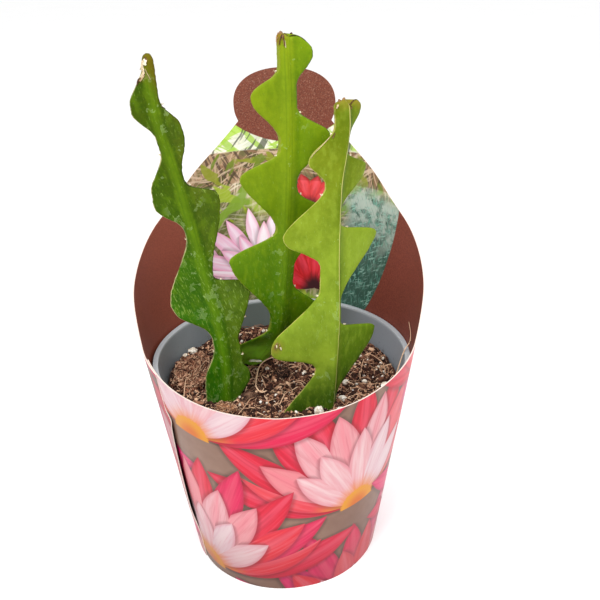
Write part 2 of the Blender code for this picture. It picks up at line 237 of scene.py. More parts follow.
def srgb(red, green, blue):
    """A colour as seen in a picture, from 0 to 255, as the linear colour that shaders take."""
    def linear(value):
        value /= 255
        return value / 12.92 if value <= 0.04045 else ((value + 0.055) / 1.055) ** 2.4
    return linear(red), linear(green), linear(blue), 1.0


def pot_radius(height):
    """Outer radius of the pot's wall below the ledge."""
    return POT_BASE_RADIUS + POT_TAPER * height


def settle(thing):
    """Apply a piece's modifiers to its mesh."""
    mesh = bpy.data.meshes.new_from_object(thing.evaluated_get(bpy.context.evaluated_depsgraph_get()))
    thing.modifiers.clear()
    thing.data = mesh


ledge_radius = pot_radius(LEDGE_HEIGHT) + LEDGE_STEP
rim_foot = POT_HEIGHT - RIM_DEPTH
neck_radius = ledge_radius + POT_TAPER * (rim_foot - LEDGE_HEIGHT)
rim_low_radius = RIM_RADIUS - 0.15 * RIM_DEPTH
mouth_radius = neck_radius + POT_TAPER * RIM_DEPTH - POT_WALL
pot_profile = [
    (0, GATE_DEPTH), (GATE_RADIUS - 0.5, GATE_DEPTH), (GATE_RADIUS, 0),
    (GROOVE_RADIUS - 1, 0), (GROOVE_RADIUS - 0.6, GROOVE_DEPTH),
    (GROOVE_RADIUS + 0.6, GROOVE_DEPTH), (GROOVE_RADIUS + 1, 0),
    (POT_BASE_RADIUS - FOOT_ROUND, 0), (POT_BASE_RADIUS, FOOT_ROUND),
    (pot_radius(LEDGE_HEIGHT / 2), LEDGE_HEIGHT / 2), (pot_radius(LEDGE_HEIGHT), LEDGE_HEIGHT),
    (ledge_radius, LEDGE_HEIGHT + LEDGE_STEP), (neck_radius, rim_foot + 0.6),
    (neck_radius + 0.2, rim_foot + 0.9), (rim_low_radius - RIM_LIP, rim_foot + 0.9),
    (rim_low_radius - RIM_LIP, rim_foot), (rim_low_radius, rim_foot),
    (RIM_RADIUS, POT_HEIGHT), (mouth_radius, POT_HEIGHT), (mouth_radius - 0.25, POT_HEIGHT - 2.0),
    (ledge_radius - POT_WALL, LEDGE_HEIGHT + LEDGE_STEP), (pot_radius(LEDGE_HEIGHT) - POT_WALL, LEDGE_HEIGHT),
    (pot_radius(0) - POT_WALL, POT_FLOOR + FOOT_ROUND),
    (pot_radius(0) - POT_WALL - FOOT_ROUND, POT_FLOOR), (0, POT_FLOOR)]
pot_mesh = bmesh.new()
corners = [pot_mesh.verts.new((radius * MM, 0, height * MM)) for radius, height in pot_profile]
lines = [pot_mesh.edges.new(pair) for pair in zip(corners, corners[1:])]
bmesh.ops.spin(pot_mesh, geom=corners + lines, cent=(0, 0, 0), axis=(0, 0, 1), angle=2 * math.pi,
               steps=POT_STEPS, use_merge=True)
bmesh.ops.remove_doubles(pot_mesh, verts=pot_mesh.verts, dist=0.001 * MM)
bmesh.ops.recalc_face_normals(pot_mesh, faces=pot_mesh.faces)
turned_edges = [edge for edge in pot_mesh.edges if abs(edge.calc_face_angle(0)) > math.radians(30)]
bmesh.ops.bevel(pot_mesh, geom=turned_edges, offset=POT_EDGE_ROUND * MM, segments=3, profile=0.5,
                affect="EDGES", material=-1, clamp_overlap=True)

# Grey with a soft flow pattern and smears of soil above the soil's line. Painted shade darkens the back of
# the inside, painted light brightens its right side, and a painted highlight lies on the rim's edge
POT_GREY, POT_GREY_LIGHT, POT_BACK_PAINTED_SHADE = srgb(120, 127, 133), srgb(137, 144, 150), srgb(78, 88, 80)
POT_SIDE_PAINTED_LIGHT, RIM_PAINTED_HIGHLIGHT, POT_DUST = srgb(156, 164, 174), srgb(186, 192, 196), srgb(92, 74, 62)
pot_plastic = Finish("pot_plastic")
pot_side, pot_back, pot_height = pot_plastic.parts(pot_plastic.place())
flow = pot_plastic.grain(60, 3.0, (1, 1, 0.15))
# The rim's top edge, where a painted highlight lies
rim_highlight_mask = pot_height.rise(0.0985, 0.0998)
smear = (pot_plastic.grain(420, 5.0, rough=0.7) + (1 - pot_height.rise(0.087, 0.090)) * 0.10).rise(0.60, 0.80)
pot_colour = pot_plastic.mix(flow, POT_GREY, POT_GREY_LIGHT)
# Painted shade on the inside's back, painted light on its right side, a painted highlight on the rim's edge
pot_colour = pot_colour.painted(pot_back.rise(0.030, 0.054) * 0.8, POT_BACK_PAINTED_SHADE)
pot_colour = pot_colour.painted(pot_side.rise(0.026, 0.050) * 0.6, POT_SIDE_PAINTED_LIGHT)
pot_colour = pot_colour.painted(rim_highlight_mask * 0.7, RIM_PAINTED_HIGHLIGHT)
pot_plastic.wear(Base_Color=pot_plastic.mix(smear * 0.55, pot_colour, POT_DUST),
                 Roughness=0.40 + smear * 0.35 + pot_plastic.grain(900) * 0.12,
                 Normal=pot_plastic.emboss(pot_plastic.grain(2200, 2.0), 0.03, 0.5))

pot = piece("pot_wall", pot_mesh, pot_plastic)
drill_mesh = bmesh.new()
for index in range(DRAIN_COUNT):
    turn = Matrix.Rotation(2 * math.pi * index / DRAIN_COUNT, 4, "Z")
    shift = Matrix.Translation((DRAIN_CIRCLE * MM, 0, POT_FLOOR / 2 * MM))
    bmesh.ops.create_cone(drill_mesh, cap_ends=True, segments=32, radius1=DRAIN_RADIUS * MM,
                          radius2=DRAIN_RADIUS * MM, depth=4 * POT_FLOOR * MM, matrix=turn @ shift)
drill = piece("drain_drill", drill_mesh)
cut = pot.modifiers.new("drain_holes", "BOOLEAN")
cut.operation, cut.solver, cut.object = "DIFFERENCE", "EXACT", drill
settle(pot)
bpy.data.objects.remove(drill, do_unlink=True)
pot.data.set_sharp_from_angle(angle=math.radians(40))
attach(pot, "root")
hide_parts("nursery_pot")

# Card sleeve
# One die-cut blank of half-millimetre card, printed on both sides and wound to a cone round the pot. Its
# left end laps over its right end left of the front and stands a little proud of it below the tuck's hook.
CARD = 0.5
SLEEVE_OFFSET = -0.6
SLEEVE_BASE_RADIUS = 45.0
SLEEVE_TAPER = 0.15
SHIELD_TURN = 3.5
# Height of the card's top edge at angles from the middle of the front round to the tab's neck
SLEEVE_EDGE = [(104.3, 0), (105.4, 25), (108.6, 50), (111.3, 66), (113.6, 75), (119.5, 80), (126.5, 85),
               (131.5, 90), (137.0, 98), (143.0, 107), (149.0, 116), (158.0, 130), (169.5, 142),
               (178.0, 151), (184.5, 157), (190.5, 161.8)]
NECK_ANGLE, NECK_HEIGHT = 161.8, 190.5
TAB_HALF_ANGLE, TAB_MIDDLE, TAB_RISE, TAB_SQUARENESS, TAB_START = 19.5, 198.0, 16.8, 2.3, -22.0
# Edge of the lap: angle from the front at heights from the foot up to the rim, past the hook
LAP_EDGE = [(-59.2, 0), (-58.9, 19), (-58.9, 32), (-58.3, 43.8), (-57.0, 54.5), (-55.5, 65), (-54.0, 75),
            (-52.6, 83), (-51.9, 88), (-56.2, 91.6), (-56.2, 94), (-56.2, 112)]
UNDERLAP_ANGLE, UNDERLAP_BLEND, UNDERLAP_DEPTH, UNDERLAP_SINK = -66.0, 22.0, 0.62, (44, 53)
LAP_START, LAP_WIDTH, LAP_LIFT, LAP_OPEN = 288.0, 13.0, 1.25, (14, 34, 84, 93)
CARD_WAVE, CARD_WAVE_LENGTH, CARD_WAVE_RADIUS = 0.22, 28.0, 60
FRONT_COLUMNS, SIDE_COLUMNS, TAB_COLUMNS, LAP_COLUMNS, CARD_ROWS, TAB_ROWS = 44, 96, 26, 16, 104, 16
# The blank as it is printed, flat: the cone unrolls round its apex
CONE_SINE = SLEEVE_TAPER / math.hypot(1, SLEEVE_TAPER)
APEX_DISTANCE = SLEEVE_BASE_RADIUS / CONE_SINE


def curve_through(points, at):
    """A smooth value at one place of a curve: points are (value, ..., place), in rising places."""
    places = [point[-1] for point in points]
    at = min(max(at, places[0]), places[-1])
    index = max(i for i in range(len(points) - 1) if places[i] <= at)
    before, start, end, after = (points[min(max(index + k, 0), len(points) - 1)] for k in (-1, 0, 1, 2))
    span = end[-1] - start[-1]
    t = (at - start[-1]) / span
    values = []
    for k in range(len(start) - 1):
        slope_start = (end[k] - before[k]) / (end[-1] - before[-1]) * span
        slope_end = (after[k] - start[k]) / (after[-1] - start[-1]) * span
        values.append((2 * t ** 3 - 3 * t ** 2 + 1) * start[k] + (t ** 3 - 2 * t ** 2 + t) * slope_start
                      + (3 * t ** 2 - 2 * t ** 3) * end[k] + (t ** 3 - t ** 2) * slope_end)
    return values


def ease(value, low, high):
    """0 below low, 1 above high, and a smooth rise between them."""
    share = min(1.0, max(0.0, (value - low) / (high - low)))
    return share * share * (3 - 2 * share)


def mapped_grid(columns, rows, place, *tags):
    """A flat grid whose corners move to place(column, row), which also gives each tag's vector."""
    builder = bmesh.new()
    bmesh.ops.create_grid(builder, x_segments=columns, y_segments=rows, size=0.5)
    layers = [builder.verts.layers.float_vector.new(tag) for tag in tags]
    for vertex in builder.verts:
        found = place(round((vertex.co.x + 0.5) * columns), round((vertex.co.y + 0.5) * rows))
        vertex.co = Vector(found[0]) * MM
        for layer, vector in zip(layers, found[1:]):
            vertex[layer] = vector
    bmesh.ops.remove_doubles(builder, verts=builder.verts, dist=0.001 * MM)
    bmesh.ops.recalc_face_normals(builder, faces=builder.faces)
    return builder


def sleeve_columns():
    """The card's columns from its hidden end to its lap: angle, height of the edge, angle of the foot."""
    def edge(angle):
        return curve_through(SLEEVE_EDGE, abs(angle))[0]
    angles = [UNDERLAP_ANGLE * (1 - k / FRONT_COLUMNS) for k in range(FRONT_COLUMNS)]
    columns = [(angle, edge(angle), angle) for angle in angles]
    side = []
    for index in range(SIDE_COLUMNS + 1):
        share = index / SIDE_COLUMNS
        angle = NECK_ANGLE * share * (1.35 - 0.35 * share)
        side.append((angle, edge(angle), angle))
    tab = []
    for index in range(1, TAB_COLUMNS + 1):
        share = index / TAB_COLUMNS
        turn = math.radians(TAB_START + (90 - TAB_START) * share)
        across = math.copysign(abs(math.cos(turn)) ** (2 / TAB_SQUARENESS), math.cos(turn))
        rise = math.copysign(abs(math.sin(turn)) ** (2 / TAB_SQUARENESS), math.sin(turn))
        tab.append((180 - TAB_HALF_ANGLE * across, TAB_MIDDLE + TAB_RISE * rise,
                    NECK_ANGLE + (180 - NECK_ANGLE) * share))
    columns += side + tab
    for angle, height, foot in reversed(side + tab[:-1]):
        if 360 - angle < LAP_START:
            columns.append((360 - angle, height, 360 - foot))
    last = columns[-1][0]
    columns += [(last + k, 0.0, None) for k in range(1, LAP_COLUMNS + 1)]
    return columns


card_columns = sleeve_columns()
lap_column = len(card_columns) - LAP_COLUMNS - 1


def card_place(column, row):
    """A corner of the card's outer side, with its place on the flat blank and on the wound cone."""
    angle, top, foot = card_columns[column]
    if foot is None:
        share = (column - lap_column) / LAP_COLUMNS
        start = card_columns[lap_column][0]
        top = curve_through(SLEEVE_EDGE, abs(start + (360 + LAP_EDGE[-1][0] - start) * share - 360))[0]
        height = top * min(row, CARD_ROWS) / CARD_ROWS
        angle = start + (360 + curve_through(LAP_EDGE, height)[0] - start) * share
    else:
        shoulder = min(top, NECK_HEIGHT)
        height = shoulder * min(row, CARD_ROWS) / CARD_ROWS
        share = max(0, row - CARD_ROWS) / TAB_ROWS
        angle, height = foot + (angle - foot) * share, height + (top - shoulder) * share
    turn = math.radians(angle)
    skew = math.radians(SHIELD_TURN) * (1 - math.cos(turn)) / 2
    opened = ease(height, LAP_OPEN[0], LAP_OPEN[1]) * (1 - ease(height, LAP_OPEN[2], LAP_OPEN[3]))
    tucked = 1 - ease(angle, UNDERLAP_ANGLE, UNDERLAP_ANGLE + UNDERLAP_BLEND)
    lap_edge = 360 + curve_through(LAP_EDGE, height)[0]
    lifted = ease(angle, lap_edge - LAP_WIDTH, lap_edge + 3) * opened * LAP_LIFT
    radius = (SLEEVE_BASE_RADIUS + SLEEVE_TAPER * height + lifted
              - tucked * UNDERLAP_DEPTH * (1 + opened * ease(-angle, *UNDERLAP_SINK)))
    x, y = math.sin(turn - skew), -math.cos(turn - skew)
    wave_place = Vector((x, y, height / CARD_WAVE_RADIUS)) * CARD_WAVE_RADIUS / CARD_WAVE_LENGTH
    radius += CARD_WAVE * noise.noise(wave_place)
    distance = (SLEEVE_BASE_RADIUS + SLEEVE_TAPER * height) / CONE_SINE
    blank = (distance * math.sin(turn * CONE_SINE), distance * math.cos(turn * CONE_SINE) - APEX_DISTANCE, 0)
    return (SLEEVE_OFFSET + radius * x, radius * y, height), blank, (angle, height, 0)


# Prints. Outside, fans of long pointed petals on taupe, set in a half-drop repeat. Inside, brown with a
# picture of soft foliage and small blossoms in the middle of the shield. The tab stays plain brown.
TAUPE, TAUPE_DARK, PRINT_TONE = srgb(130, 103, 88), srgb(112, 84, 70), srgb(245, 242, 242)
CRIMSON, MAGENTA, CORAL = srgb(192, 16, 46), srgb(198, 20, 104), srgb(198, 34, 48)
PALE, BLUSH, AMBER, GOLD = srgb(196, 170, 176), srgb(198, 78, 100), srgb(198, 116, 40), srgb(196, 132, 22)
FAN_PERIOD, FAN_DROP, FAN_START = (152.0, 84.0), (76.0, 42.0), (-40.0, 2.0)
# Rings of petals in a fan: spacing in degrees, petals each side, half width, length, how the tip narrows
FAN_RINGS = [(18.0, 4, 8.0, 82.0, 1.35), (21.0, 3, 8.2, 66.0, 1.25), (25.0, 2, 6.8, 46.0, 1.15)]


def petals(finish, under, across, up, key, ring, tip, root, seed):
    """One ring of a fan of petals over the colours under it. across and up start at the fan's root, tip
    holds two colours, the pale of the streaks and the dark of the margins, and root is the petals' foot."""
    spacing, each_side, half_width, length, skew = ring
    reach = (across * across + up * up) ** 0.5
    turn = across.math("ARCTAN2", up)
    step = math.radians(spacing)
    number = (turn / step + seed % 2 * 0.5).math("ROUND") - seed % 2 * 0.5
    number = finish.node("Clamp", {}, number, -each_side, each_side)
    petal_key = finish.node("VectorMath", {"operation": "ADD"}, key,
                            finish.joined(number * 3.7, seed * 1.3, 0.0))
    first, second, third = finish.parts(finish.node("TexWhiteNoise", {}, Vector=petal_key, out=1))
    local = turn - number * step + (first - 0.5) * (step * 0.30)
    side = reach * local.math("SINE")
    along = reach * local.math("COSINE") / (length * (0.84 + second * 0.16))
    place = finish.node("Clamp", {}, along, 0.0, 1.0) ** skew
    width = place * (1 - place) * (4 * half_width)
    inner = width - abs(side)
    streak = finish.grain(1.0, 3.0, where=finish.joined(side * 0.7, along * 2.4 + number * 9.0, first * 20.0))
    colour = finish.mix(third.rise(0.25, 0.8), tip[0], tip[1])
    colour = colour.painted((1 - abs(side) / (width + 0.01)).rise(0.45, 1.0) * 0.42 * along.rise(0.25, 0.6),
                            tip[2])
    colour = colour.painted(streak.rise(0.48, 0.68) * 0.30, tip[2])
    colour = colour.painted(streak.rise(0.52, 0.34) * 0.28, tip[3])
    colour = colour.painted((1 - inner.rise(0.0, 2.2)) * 0.45, tip[3])
    colour = colour.painted(1 - (along + streak * 0.12).rise(0.20, 0.46), root)
    cast = inner.rise(-2.6, 0.0) * (1 - along.rise(0.97, 1.0)) * along.rise(0.04, 0.2)
    under = under.painted(cast * 0.42, srgb(96, 22, 46), "MULTIPLY")
    return under.painted(inner.rise(0.0, 0.35), colour)


def fan_print(finish, under, across, up, start):
    """A repeat of whole fans, with one fan in each cell of the repeat."""
    cells = [((axis - origin) / period + shift).math("FLOOR")
             for axis, origin, period, shift in zip((across, up), start, FAN_PERIOD, (0.5, 0.0))]
    across = across - start[0] - cells[0] * FAN_PERIOD[0]
    up = up - start[1] - cells[1] * FAN_PERIOD[1]
    key = finish.joined(*cells, start[1])
    deep, pale = srgb(132, 6, 36), srgb(204, 104, 118)
    under = petals(finish, under, across, up, key, FAN_RINGS[0], (CRIMSON, MAGENTA, BLUSH, deep), CRIMSON, 2)
    under = petals(finish, under, across, up, key, FAN_RINGS[1],
                   (CORAL, srgb(200, 152, 156), pale, srgb(168, 40, 66)), AMBER, 5)
    under = petals(finish, under, across, up, key, FAN_RINGS[2],
                   (PALE, srgb(200, 150, 154), srgb(208, 192, 192), srgb(188, 100, 116)), AMBER, 8)
    reach = (across * across + up * up) ** 0.5
    cup = (8.5 + finish.grain(0.9, 3.0, where=finish.joined(across, up, 0.0)) * 3 - reach).rise(0.0, 1.2)
    return finish.mix(cup, under, finish.mix(reach.rise(2.0, 8.5), srgb(186, 96, 24), GOLD))


outside = Finish("printed_card", Specular_IOR_Level=0.22)
blank = outside.tag("blank")
blank_across, blank_up = outside.parts(blank, 2)
mottle = outside.grain(0.035, 4.0, where=blank, rough=0.6)
outside_colour = outside.mix(mottle.rise(0.32, 0.70), TAUPE_DARK, TAUPE)
outside_colour = fan_print(outside, outside_colour, blank_across, blank_up,
                           (FAN_START[0] + FAN_DROP[0], FAN_START[1] + FAN_DROP[1]))
outside_colour = fan_print(outside, outside_colour, blank_across, blank_up, FAN_START)
# Painted shade darkens the print towards the foot of the sleeve
outside_colour = outside_colour.painted((1 - blank_up.rise(4, 46)) * 0.42, srgb(150, 126, 118), "MULTIPLY")
outside_colour = outside_colour.painted(1.0, PRINT_TONE, "MULTIPLY")
outside.wear(Base_Color=outside_colour, Roughness=0.33 + outside.grain(300, 3.0) * 0.12,
             Normal=outside.emboss(outside.grain(1500, 3.0), 0.02, 0.4))

inside = Finish("printed_card_inside", Roughness=0.5, Specular_IOR_Level=0.3)
card_angle, card_height = inside.parts(inside.tag("wound"), 2)
right = (180 - card_angle) * (card_height * SLEEVE_TAPER + SLEEVE_BASE_RADIUS) * math.radians(1)
speck = inside.grain(1500, 3.0, rough=0.8)
brown = inside.mix(speck.rise(0.36, 0.62), srgb(102, 48, 37), srgb(128, 64, 49))
# Painted light lifts the brown on the inside of the left side
brown = brown.painted((0 - right).rise(24, 60) * 0.35, srgb(150, 80, 62))
aged = card_height.rise(150, 205)
brown = brown.painted(aged, srgb(226, 229, 208), "MULTIPLY")
brown = brown.painted(aged * inside.grain(1900, 2.0).rise(0.56, 0.68) * 0.34, srgb(190, 146, 122))
# How far a place lies inside the picture's sides, and below its top edge under the tab
up = card_height - 100
border = 44.5 + up * 0.64 - up * up * 0.0046 - abs(right) - right.rise(-6.0, -12.0) * 9.5
tab_border = 180 + right * right * 0.0145 - card_height


def strokes(turn, seed, length=0.045, width=0.6, low=0.52, high=0.60, curl=26):
    """Thin blades or stalks that lie at a turn in degrees, as a mask on the picture."""
    cosine, sine = math.cos(math.radians(turn)), math.sin(math.radians(turn))
    bend = inside.grain(0.035, 1.0, where=inside.joined(right, card_height, seed)) * curl
    along, beside = right * cosine + card_height * sine, card_height * cosine - right * sine + bend
    where = inside.joined(along * length, beside * width, seed)
    return inside.grain(1.0, 2.0, where=where).rise(low, high)


def brushed(picture, strength, layers, *shape):
    """A picture with layers of blades or stalks over it. A layer is a turn, a seed and a colour."""
    for turn, seed, colour in layers:
        picture = picture.painted(strokes(turn, seed, *shape) * strength, colour)
    return picture


picture_place = inside.joined(right, card_height, 0.0)
patch = inside.grain(0.045, 3.0, where=picture_place)
aloft = card_height.rise(146, 164)
picture = inside.mix(aloft, srgb(148, 170, 60), srgb(168, 158, 120))
picture = picture.painted(patch.rise(0.62, 0.40), srgb(92, 98, 52))
picture = brushed(picture, aloft * 0.55 + 0.3, (
    (38, 1.0, srgb(196, 170, 140)), (-28, 2.0, srgb(152, 122, 96)), (74, 3.0, srgb(214, 196, 168)),
    (-62, 4.0, srgb(88, 74, 60)), (12, 5.0, srgb(226, 214, 190))))
picture = brushed(picture, 0.9, ((-40, 6.0, srgb(150, 170, 44)), (55, 7.0, srgb(118, 150, 40))),
                  0.05, 0.13, 0.56, 0.60)
needles = inside.mix((card_height + patch * 40).rise(140, 176), srgb(52, 84, 72), srgb(168, 180, 168))
tuft = inside.grain(0.16, 4.0, where=picture_place, rough=0.6).rise(0.44, 0.58)
needles = needles.painted(tuft * 0.7, srgb(44, 84, 70))
needles = brushed(needles, tuft * 0.5 + 0.25, (
    (68, 8.0, srgb(96, 156, 136)), (118, 9.0, srgb(30, 62, 52)), (28, 10.0, srgb(150, 190, 174)),
    (90, 11.0, srgb(120, 168, 152))), 0.22, 1.1, 0.54, 0.66, 5)
branch = (abs(card_height - 168 - right * 0.35) - patch * 14).rise(0.0, -4.0)
needles = needles.painted(branch * 0.8, srgb(112, 84, 56))
picture = picture.painted((right + patch * 26 - up * 0.25).rise(24, 36)
                          * (1 - (card_height + patch * 12).rise(160, 170)), needles)
# Rings of small blossoms: place of the root, ring, colours of the petals, colour of their foot, seed
LILAC, ROSE = srgb(232, 190, 214), srgb(226, 116, 158)
BLOOMS = [
    ((-34.0, 101.0), (20.0, 3, 3.4, 34.0, 1.2), (srgb(240, 214, 226), LILAC, srgb(244, 236, 242), ROSE),
     LILAC, 3),
    ((-13.0, 112.0), (19.0, 4, 3.9, 42.0, 1.25), (LILAC, srgb(240, 220, 232), srgb(250, 240, 246), ROSE),
     ROSE, 5),
    ((-13.0, 112.0), (26.0, 2, 3.8, 30.0, 1.15), (srgb(244, 228, 236), LILAC, srgb(252, 246, 250), ROSE),
     srgb(222, 172, 90), 8),
    ((14.0, 105.0), (30.0, 2, 6.4, 27.0, 1.1),
     (srgb(190, 24, 30), srgb(214, 40, 48), srgb(226, 74, 96), srgb(110, 12, 20)), srgb(60, 24, 30), 2),
    ((12.0, 148.0), (28.0, 2, 4.6, 19.0, 1.1),
     (srgb(190, 44, 44), srgb(214, 60, 60), srgb(226, 94, 106), srgb(120, 22, 26)), srgb(96, 30, 34), 5),
]
bloom_key = inside.joined(3.0, 1.0, 2.0)
for (across, foot), ring, tip, root, seed in BLOOMS:
    picture = petals(inside, picture, right - across, card_height - foot, bloom_key, ring, tip, root, seed)
above = card_height.rise(176.0, 176.6)
picture = picture.painted(above * 0.6, srgb(238, 242, 222))
picture = brushed(picture, above * 0.85, (
    (24, 21.0, srgb(160, 198, 44)), (-46, 22.0, srgb(150, 186, 60)), (66, 23.0, srgb(74, 78, 64))),
    0.05, 0.26, 0.53, 0.58, 12)
# A dull band crosses the picture below the tab
band = card_height.rise(160.4, 160.9) * (1 - card_height.rise(176.0, 176.5))
picture = picture.painted(band * 0.6, srgb(196, 160, 138), "MULTIPLY")
in_picture = border.rise(0.0, 0.5) * tab_border.rise(0.0, 0.5)
inside.wear(Base_Color=brown.painted(in_picture, picture),
            Normal=inside.emboss(inside.grain(1500, 3.0), 0.02, 0.4))

card_core = Finish("card_core", Roughness=0.85)
card_core.wear(Base_Color=card_core.mix(card_core.grain(1400, 3.0), srgb(190, 170, 160), srgb(220, 204, 195)))

sleeve_mesh = mapped_grid(len(card_columns) - 1, CARD_ROWS + TAB_ROWS, card_place, "blank", "wound")
sleeve = piece("card_wrap", sleeve_mesh, outside, inside, card_core)
card = sleeve.modifiers.new("card", "SOLIDIFY")
card.thickness, card.offset, card.use_even_offset = CARD * MM, -1, True
card.material_offset, card.material_offset_rim = 1, 2
settle(sleeve)
sleeve.data.set_sharp_from_angle(angle=math.radians(40))
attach(sleeve, "root")
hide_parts("card_sleeve")

# Potting soil
# A moist mix of coir, peat and bark that fills the pot to 13 mm below its rim. Loose strands of coir, crumbs
# and flakes of bark lie on it, with small grains of perlite among them.
SOIL_TOP, SOIL_SWELL, SOIL_GRAIN = 87.0, 1.3, 16.0
PLUG_RELIEF, PLUG_GRAIN = 0.35, 2.2
SOIL_CLEARANCE, SOIL_FOOT_ROUND = 0.3, 1.5
SOIL_STEPS, SOIL_RINGS = 300, 104
CRUMBLE, CRUMBLE_GRAIN = 1.8, 3.6
CRUMB_RELIEF, CRUMB_GRAIN = 0.7, 1.3
STRAND_COUNT, CRUMB_COUNT, FLAKE_COUNT, WHITE_COUNT = 3400, 3000, 1100, 130
SCATTER_RADIUS = 51.8
STRAND_STEPS = 6


def soil_level(x, y):
    """Height of the uneven, crumbly top of the soil."""
    swell = noise.fractal(Vector((x / SOIL_GRAIN, y / SOIL_GRAIN, 0.7)), 0.6, 2.0, 3)
    crumble = noise.noise(Vector((x / CRUMBLE_GRAIN, y / CRUMBLE_GRAIN, 4.0)))
    grit = abs(noise.noise(Vector((x / CRUMB_GRAIN, y / CRUMB_GRAIN, 9.0))))
    return SOIL_TOP + SOIL_SWELL * swell + CRUMBLE * crumble + CRUMB_RELIEF * (grit * 2 - 0.5)


soil_inset = POT_WALL + SOIL_CLEARANCE
soil_foot = POT_FLOOR + SOIL_CLEARANCE
soil_side_radius = POT_BASE_RADIUS - soil_inset
soil_top_radius = pot_radius(LEDGE_HEIGHT) - soil_inset + POT_TAPER * (SOIL_TOP - SOIL_SWELL - LEDGE_HEIGHT)
soil_profile = [(0, soil_foot)]
soil_profile += [((soil_side_radius - SOIL_FOOT_ROUND) * k / 24, soil_foot) for k in range(1, 25)]
soil_profile += [(soil_side_radius, soil_foot + SOIL_FOOT_ROUND)]
soil_profile += [(soil_side_radius + (pot_radius(LEDGE_HEIGHT) - soil_inset - soil_side_radius) * k / 12,
                  soil_foot + SOIL_FOOT_ROUND + (LEDGE_HEIGHT - soil_foot - SOIL_FOOT_ROUND) * k / 12)
                 for k in range(1, 13)]


def soil_place(column, row):
    """A corner of the plug: its underside and side from the profile, then rings over its top."""
    turn = 2 * math.pi * (column % SOIL_STEPS) / SOIL_STEPS
    if row < len(soil_profile):
        radius, height = soil_profile[row]
        x, y = radius * math.cos(turn), radius * math.sin(turn)
        relief = max(0, PLUG_RELIEF * noise.noise(Vector((x, y, height)) / PLUG_GRAIN)) if radius > 0 else 0
        return ((x * (1 - relief / 60), y * (1 - relief / 60), height + relief),)
    ring = row - len(soil_profile)
    radius = soil_top_radius * (1 - ring / SOIL_RINGS)
    x, y = radius * math.cos(turn), radius * math.sin(turn)
    return ((x, y, soil_level(x, y) - (0.8 if ring == 0 else 0.0)),)


def earth_colour(finish, tint):
    """Browns of the mix, from a value between 0 and 1."""
    return finish.node("ValToRGB", {"stops": [
        (0.0, srgb(22, 12, 9)), (0.30, srgb(62, 35, 26)), (0.52, srgb(130, 86, 66)),
        (0.76, srgb(190, 141, 110)), (1.0, srgb(234, 196, 162))]}, tint)


soil_finish = Finish("soil_mix", Specular_IOR_Level=0.25)
soil_tone = soil_finish.grain(190, 5.0, rough=0.7) * 1.1
soil_tone = soil_tone + soil_finish.grain(1300, 3.0, rough=0.7) * 0.6 - 0.54
soil_wet = soil_finish.grain(70, 2.0).rise(0.45, 0.65)
soil_finish.wear(Base_Color=earth_colour(soil_finish, soil_tone), Roughness=0.95 - soil_wet * 0.2,
                 Normal=soil_finish.emboss(soil_finish.grain(1500, 5.0, rough=0.75), 0.5, 0.8))
soil = piece("soil_plug", mapped_grid(SOIL_STEPS, len(soil_profile) + SOIL_RINGS, soil_place), soil_finish)
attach(soil, "root")
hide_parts("potting_soil")


def cluster(shapes, sides, tints):
    """One mesh of many small closed shapes. A shape is a row of rings, each a middle with the two half
    axes of its outline; its first and last ring shrink to a point. Each shape has its own tint."""
    rings = len(shapes[0])
    last = len(shapes) * rings - 1
    builder = bmesh.new()
    bmesh.ops.create_grid(builder, x_segments=sides, y_segments=last, size=0.5)
    layer = builder.verts.layers.float.new("tint")
    bridges = [face for face in builder.faces
               if math.floor((face.calc_center_median().y + 0.5) * last) % rings == rings - 1]
    bmesh.ops.delete(builder, geom=bridges, context="FACES")
    for vertex in builder.verts:
        column, line = round((vertex.co.x + 0.5) * sides), round((vertex.co.y + 0.5) * last)
        middle, side, up = shapes[line // rings][line % rings]
        turn = 2 * math.pi * (column % sides) / sides
        vertex.co = (middle + side * math.cos(turn) + up * math.sin(turn)) * MM
        vertex[layer] = tints[line // rings]
    bmesh.ops.remove_doubles(builder, verts=builder.verts, dist=0.0005 * MM)
    bmesh.ops.recalc_face_normals(builder, faces=builder.faces)
    return builder


def strand(points, width, flatness=1.0):
    """Rings of a thin tube along points, closed at both ends."""
    rings = []
    for index, point in enumerate(points):
        before, after = points[max(index - 1, 0)], points[min(index + 1, len(points) - 1)]
        side = (after - before).cross(Vector((0, 0, 1)))
        side = side.normalized() if side.length > 1e-6 else Vector((1, 0, 0))
        up = side.cross(after - before).normalized()
        size = 0.0 if index in (0, len(points) - 1) else width
        rings.append((point, side * size, up * size * flatness))
    return rings


def crumb(middle, half, axis, luck):
    """Rings of a small uneven lump with its long axis along axis."""
    axis = axis.normalized()
    side = axis.orthogonal().normalized()
    up = axis.cross(side)
    rings = []
    for along, size in ((-1, 0.0), (-0.5, 0.85), (0.45, 0.9), (1, 0.0)):
        lean = Vector([luck.uniform(-0.15, 0.15) for _ in range(3)]) * min(half)
        rings.append((middle + axis * half[0] * along + lean, side * half[1] * size, up * half[2] * size))
    return rings


def spread(luck, radius):
    """A random point of the soil's top, within a radius."""
    distance, turn = radius * math.sqrt(luck.random()), luck.uniform(0, 2 * math.pi)
    return distance * math.cos(turn), distance * math.sin(turn)


def crumb_on_soil(luck, x, y, size, lift, sides, ups, flat=1.0):
    """A crumb on the soil's top: its place, half length, lift, and the ranges of its other half sizes as
    shares of the first. flat keeps its long axis near the level."""
    axis = Vector([luck.uniform(-1, 1) for _ in range(3)])
    axis.z *= flat
    half = (size, size * luck.uniform(*sides), size * luck.uniform(*ups))
    return crumb(Vector((x, y, soil_level(x, y) + lift)), half, axis, luck)


